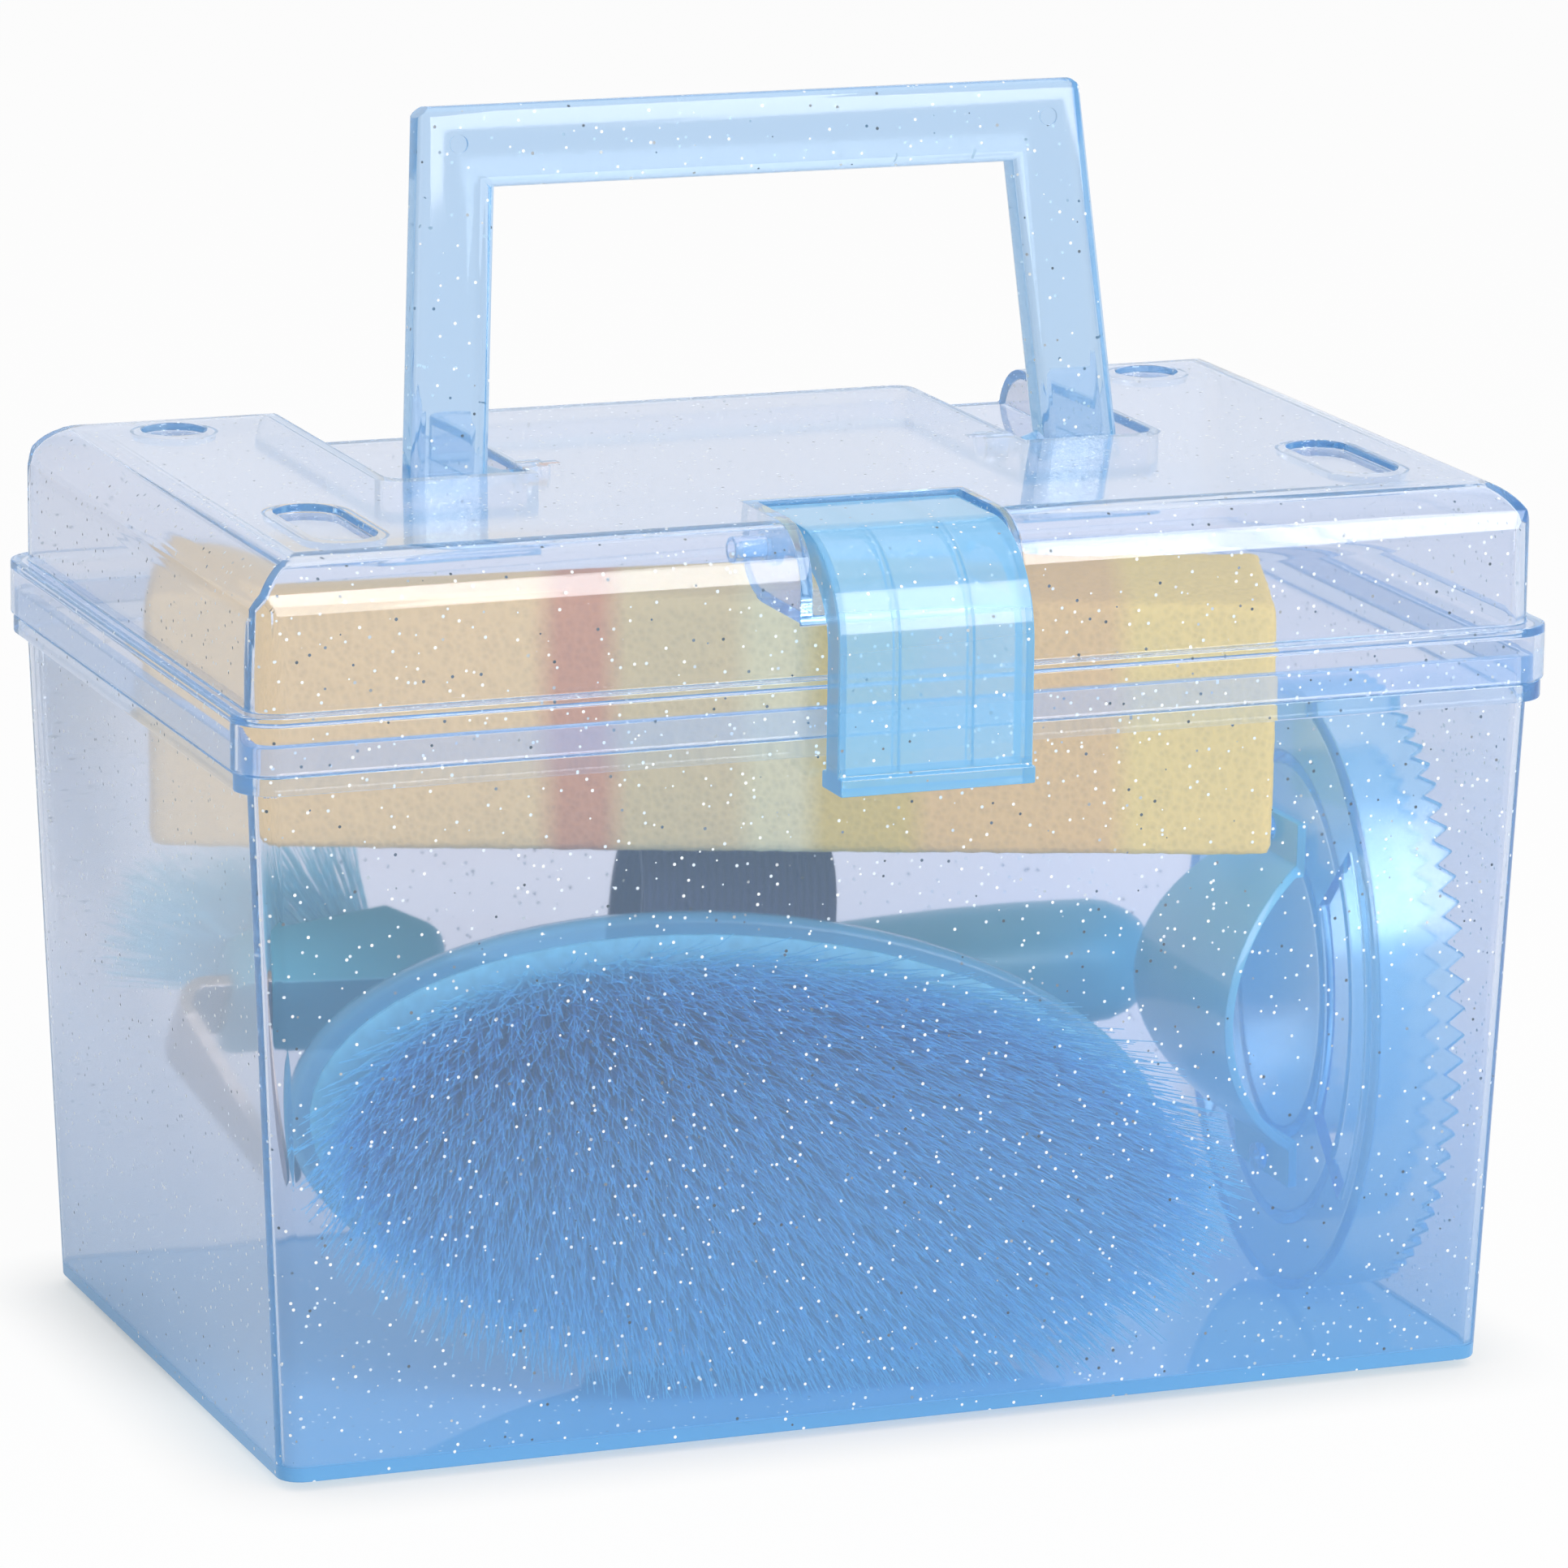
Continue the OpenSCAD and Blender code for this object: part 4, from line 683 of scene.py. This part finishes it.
# %% Rivets
rivet_steel, tree = new_material("bright_nickel_steel")
here = add(tree, "ShaderNodeTexCoord").outputs["Object"]
marks = add(tree, "ShaderNodeTexNoise", {"Vector": here, "Scale": 1 / (1.2 * MM), "Detail": 3.0}).outputs["Fac"]
dull = add(tree, "ShaderNodeMapRange", {"Value": marks, "To Min": 0.2, "To Max": 0.42}).outputs[0]
body = add(tree, "ShaderNodeBsdfPrincipled", {
    "Base Color": hex_colour("#cfd2d6"), "Metallic": 1.0, "Roughness": dull})
add(tree, "ShaderNodeOutputMaterial", {"Surface": body.outputs[0]})
rivets = copy_of("body_brush_rivets", "strap_rivets")
soften(rivets, 0.25 * MM)
settle(rivets, "tub", "rivet_steel", rivet_steel, "body_brush_rivets")

# %% [markdown]
# ## Curry comb
# The comb is a moulding of soft, clear blue plastic, an oval plate with three rings of teeth, and has a bowed strap
# on two studs. The solids have their teeth already, so copies of them are smoothed. The strap's plastic is
# milkier, and its middle is spread and bowed a little further than the solid's.

# %% Curry comb, its strap and its studs
COMB_DYE, NO_FLAKES = (0.05, 0.66, 0.93, 1), 0
comb_plastic = clear_plastic(
    "clear_blue_comb_plastic", "#f4fafe", "#8edaff", 0.11, COMB_DYE, 115, 0.16, NO_FLAKES)
strap_plastic = clear_plastic(
    "clear_blue_strap_plastic", "#eef8fe", "#8ce0ff", 0.4, COMB_DYE, 100, 0.15, NO_FLAKES)
comb = copy_of("curry_comb", "comb_plate_and_teeth")
soften(comb, 0.45 * MM, smooth_angle=45)
settle(comb, "tub", "comb_plastic", comb_plastic, "curry_comb")

STRAP_MIDDLE, STRAP_REACH = Vector((0, -18.6, 61.4)) * MM, 29 * MM
STRAP_SPREAD, STRAP_BOW = 0.8, 5 * MM
comb_strap = copy_of("curry_comb_strap", "comb_strap")
bpy.ops.object.mode_set(mode="EDIT")
bpy.ops.mesh.quads_convert_to_tris()
bpy.ops.object.mode_set(mode="OBJECT")
for vertex in comb_strap.data.vertices:
    swell = max(0.0, 1 - ((vertex.co.z - STRAP_MIDDLE.z) / STRAP_REACH) ** 2)
    vertex.co.x -= STRAP_BOW * swell
    vertex.co.y += STRAP_SPREAD * swell * (vertex.co.y - STRAP_MIDDLE.y)
soften(comb_strap, 0.3 * MM)
settle(comb_strap, "tub", "comb_plastic", strap_plastic, "curry_comb_strap")

studs = copy_of("curry_comb_studs", "comb_studs")
soften(studs, 0.3 * MM)
settle(studs, "tub", "comb_plastic", comb_plastic, "curry_comb_studs")

# %% [markdown]
# ## Hoof pick
# A teal moulding carries a bent steel hook on one side of its head and a small scrubbing brush on the other. The
# grip and the hook are copies with softer edges; the scrubbing brush is planted with the same kind of tuft.

# %% Teal moulding and steel hook
teal_plastic, tree = new_material("teal_moulded_plastic")
here = add(tree, "ShaderNodeTexCoord").outputs["Object"]
grain = add(tree, "ShaderNodeTexNoise", {"Vector": here, "Scale": 1 / (0.8 * MM), "Detail": 2.0}).outputs["Fac"]
cloud = add(tree, "ShaderNodeTexNoise", {"Vector": here, "Scale": 1 / (25 * MM), "Detail": 2.0}).outputs["Fac"]
colour = add(tree, "ShaderNodeMix", {
    0: cloud, 6: hex_colour("#4aa0ba"), 7: hex_colour("#60b3cb")}, data_type="RGBA").outputs[2]
bump = add(tree, "ShaderNodeBump", {"Height": grain, "Strength": 0.12, "Distance": 0.1 * MM})
body = add(tree, "ShaderNodeBsdfPrincipled", {
    "Base Color": colour, "Roughness": 0.36, "IOR": MOULDED_IOR, "Normal": bump.outputs[0]})
add(tree, "ShaderNodeOutputMaterial", {"Surface": body.outputs[0]})
pick = copy_of("hoof_pick_handle", "pick_grip_and_head", sliver=0)
soften(pick, 0.5 * MM)
settle(pick, "tub", "teal_plastic", teal_plastic, "hoof_pick_handle")

hook_steel, tree = new_material("rolled_steel_hook")
here = add(tree, "ShaderNodeTexCoord").outputs["Object"]
STREAK_LENGTH, STREAK_WIDTH = 6 * MM, 0.5 * MM
rolled = add(tree, "ShaderNodeMapping", {
    "Vector": here, "Scale": (1 / STREAK_LENGTH, 1 / STREAK_WIDTH, 1 / STREAK_WIDTH)}).outputs[0]
streak = add(tree, "ShaderNodeTexNoise", {"Vector": rolled, "Scale": 1.0, "Detail": 3.0}).outputs["Fac"]
dull = add(tree, "ShaderNodeMapRange", {"Value": streak, "To Min": 0.3, "To Max": 0.5}).outputs[0]
colour = add(tree, "ShaderNodeMix", {
    0: streak, 6: hex_colour("#b4a6a0"), 7: hex_colour("#d6cbc6")}, data_type="RGBA").outputs[2]
body = add(tree, "ShaderNodeBsdfPrincipled", {"Base Color": colour, "Metallic": 1.0, "Roughness": dull})
add(tree, "ShaderNodeOutputMaterial", {"Surface": body.outputs[0]})
hook = copy_of("hoof_pick_hook", "steel_hook")
soften(hook, 0.35 * MM)
settle(hook, "tub", "hook_steel", hook_steel, "hoof_pick_hook")

# %% Scrubbing bristles of the head
PICK_PLACE = Vector((89.999, 28.325, 56.655)) * MM
PICK_YAW, PICK_PITCH, PICK_ROLL, PAD_SLOPE = (math.radians(a) for a in (-2, 2.2, 41, 11.197))
PAD_AT, PAD_LIFT = Vector((-170.397, 7.99, 0)) * MM, 0.1 * MM
PAD_L, PAD_W, PAD_T, SCRUB_LENGTH = 25.6 * MM, 17.8 * MM, 1.4 * MM, 21.5 * MM
pad_frame = (
    Matrix.Translation(PICK_PLACE) @ Matrix.Rotation(PICK_YAW, 4, "Z") @ Matrix.Rotation(PICK_PITCH, 4, "Y")
    @ Matrix.Rotation(PICK_ROLL, 4, "X") @ Matrix.Translation(PAD_AT) @ Matrix.Rotation(PAD_SLOPE, 4, "Z")
    @ Matrix.Translation((0, PAD_LIFT, 0)) @ Matrix.Rotation(math.radians(-90), 4, "X")
)
BACK_WALL, SCRUB_REACH, ROWS, COLUMNS = 66 * MM, 26 * MM, 16, 10
SCRUB_FAN, SCRUB_LEAN = (1.9, 2.2), (-8.8 * MM, 6 * MM)
tuft = model_tuft("scrub_tuft", FIBRES, SCRUB_LENGTH, ROOT_R, TIP_R, 2.2 * MM, 5)
chance = random.Random(23)
stands = []
for i in range(ROWS):
    for j in range(COLUMNS):
        root = Vector((
            (i + 0.5) / ROWS * PAD_L - PAD_L / 2, (j + 0.5) / COLUMNS * PAD_W - PAD_W / 2, PAD_T - SUNK))
        sway = Vector((chance.uniform(-1, 1), chance.uniform(-1, 1), chance.uniform(-1.5, 0))) * MM
        tip = Vector((
            SCRUB_FAN[0] * root.x + SCRUB_LEAN[0], SCRUB_FAN[1] * root.y + SCRUB_LEAN[1], SCRUB_LENGTH)) + sway
        way = tip - root
        tip = pad_frame @ (root + way * min(1, SCRUB_REACH / way.length))
        tip.y = min(tip.y, BACK_WALL - chance.random() * MM)
        stands.append(aim(pad_frame @ root, tip, SCRUB_LENGTH, chance.uniform(0, 2 * math.pi)))
scrub = plant(tuft, stands, "pick_bristles")
bpy.ops.object.select_all(action="DESELECT")
bpy.ops.mesh.primitive_cube_add(size=1, location=(0, 0, PAD_T / 2), scale=(PAD_L, PAD_W, PAD_T))
pad = bpy.context.active_object
bpy.ops.object.transform_apply(location=True, rotation=True, scale=True)
bpy.ops.object.mode_set(mode="EDIT")
bpy.ops.mesh.bevel(offset=0.4 * MM, segments=2, affect="EDGES")
bpy.ops.object.mode_set(mode="OBJECT")
pad.matrix_world = pad_frame
bpy.ops.object.transform_apply(location=True, rotation=True, scale=True)
take(scrub, pad)
bpy.ops.object.join()
bpy.data.objects.remove(tuft)
pale_nylon = nylon("pale_blue_nylon_bristle", "#d4f6ff", "#dcf8ff", pad_frame, 2 * MM, 21 * MM)
settle(scrub, "tub", "pale_bristle", pale_nylon, "hoof_pick_bristles")
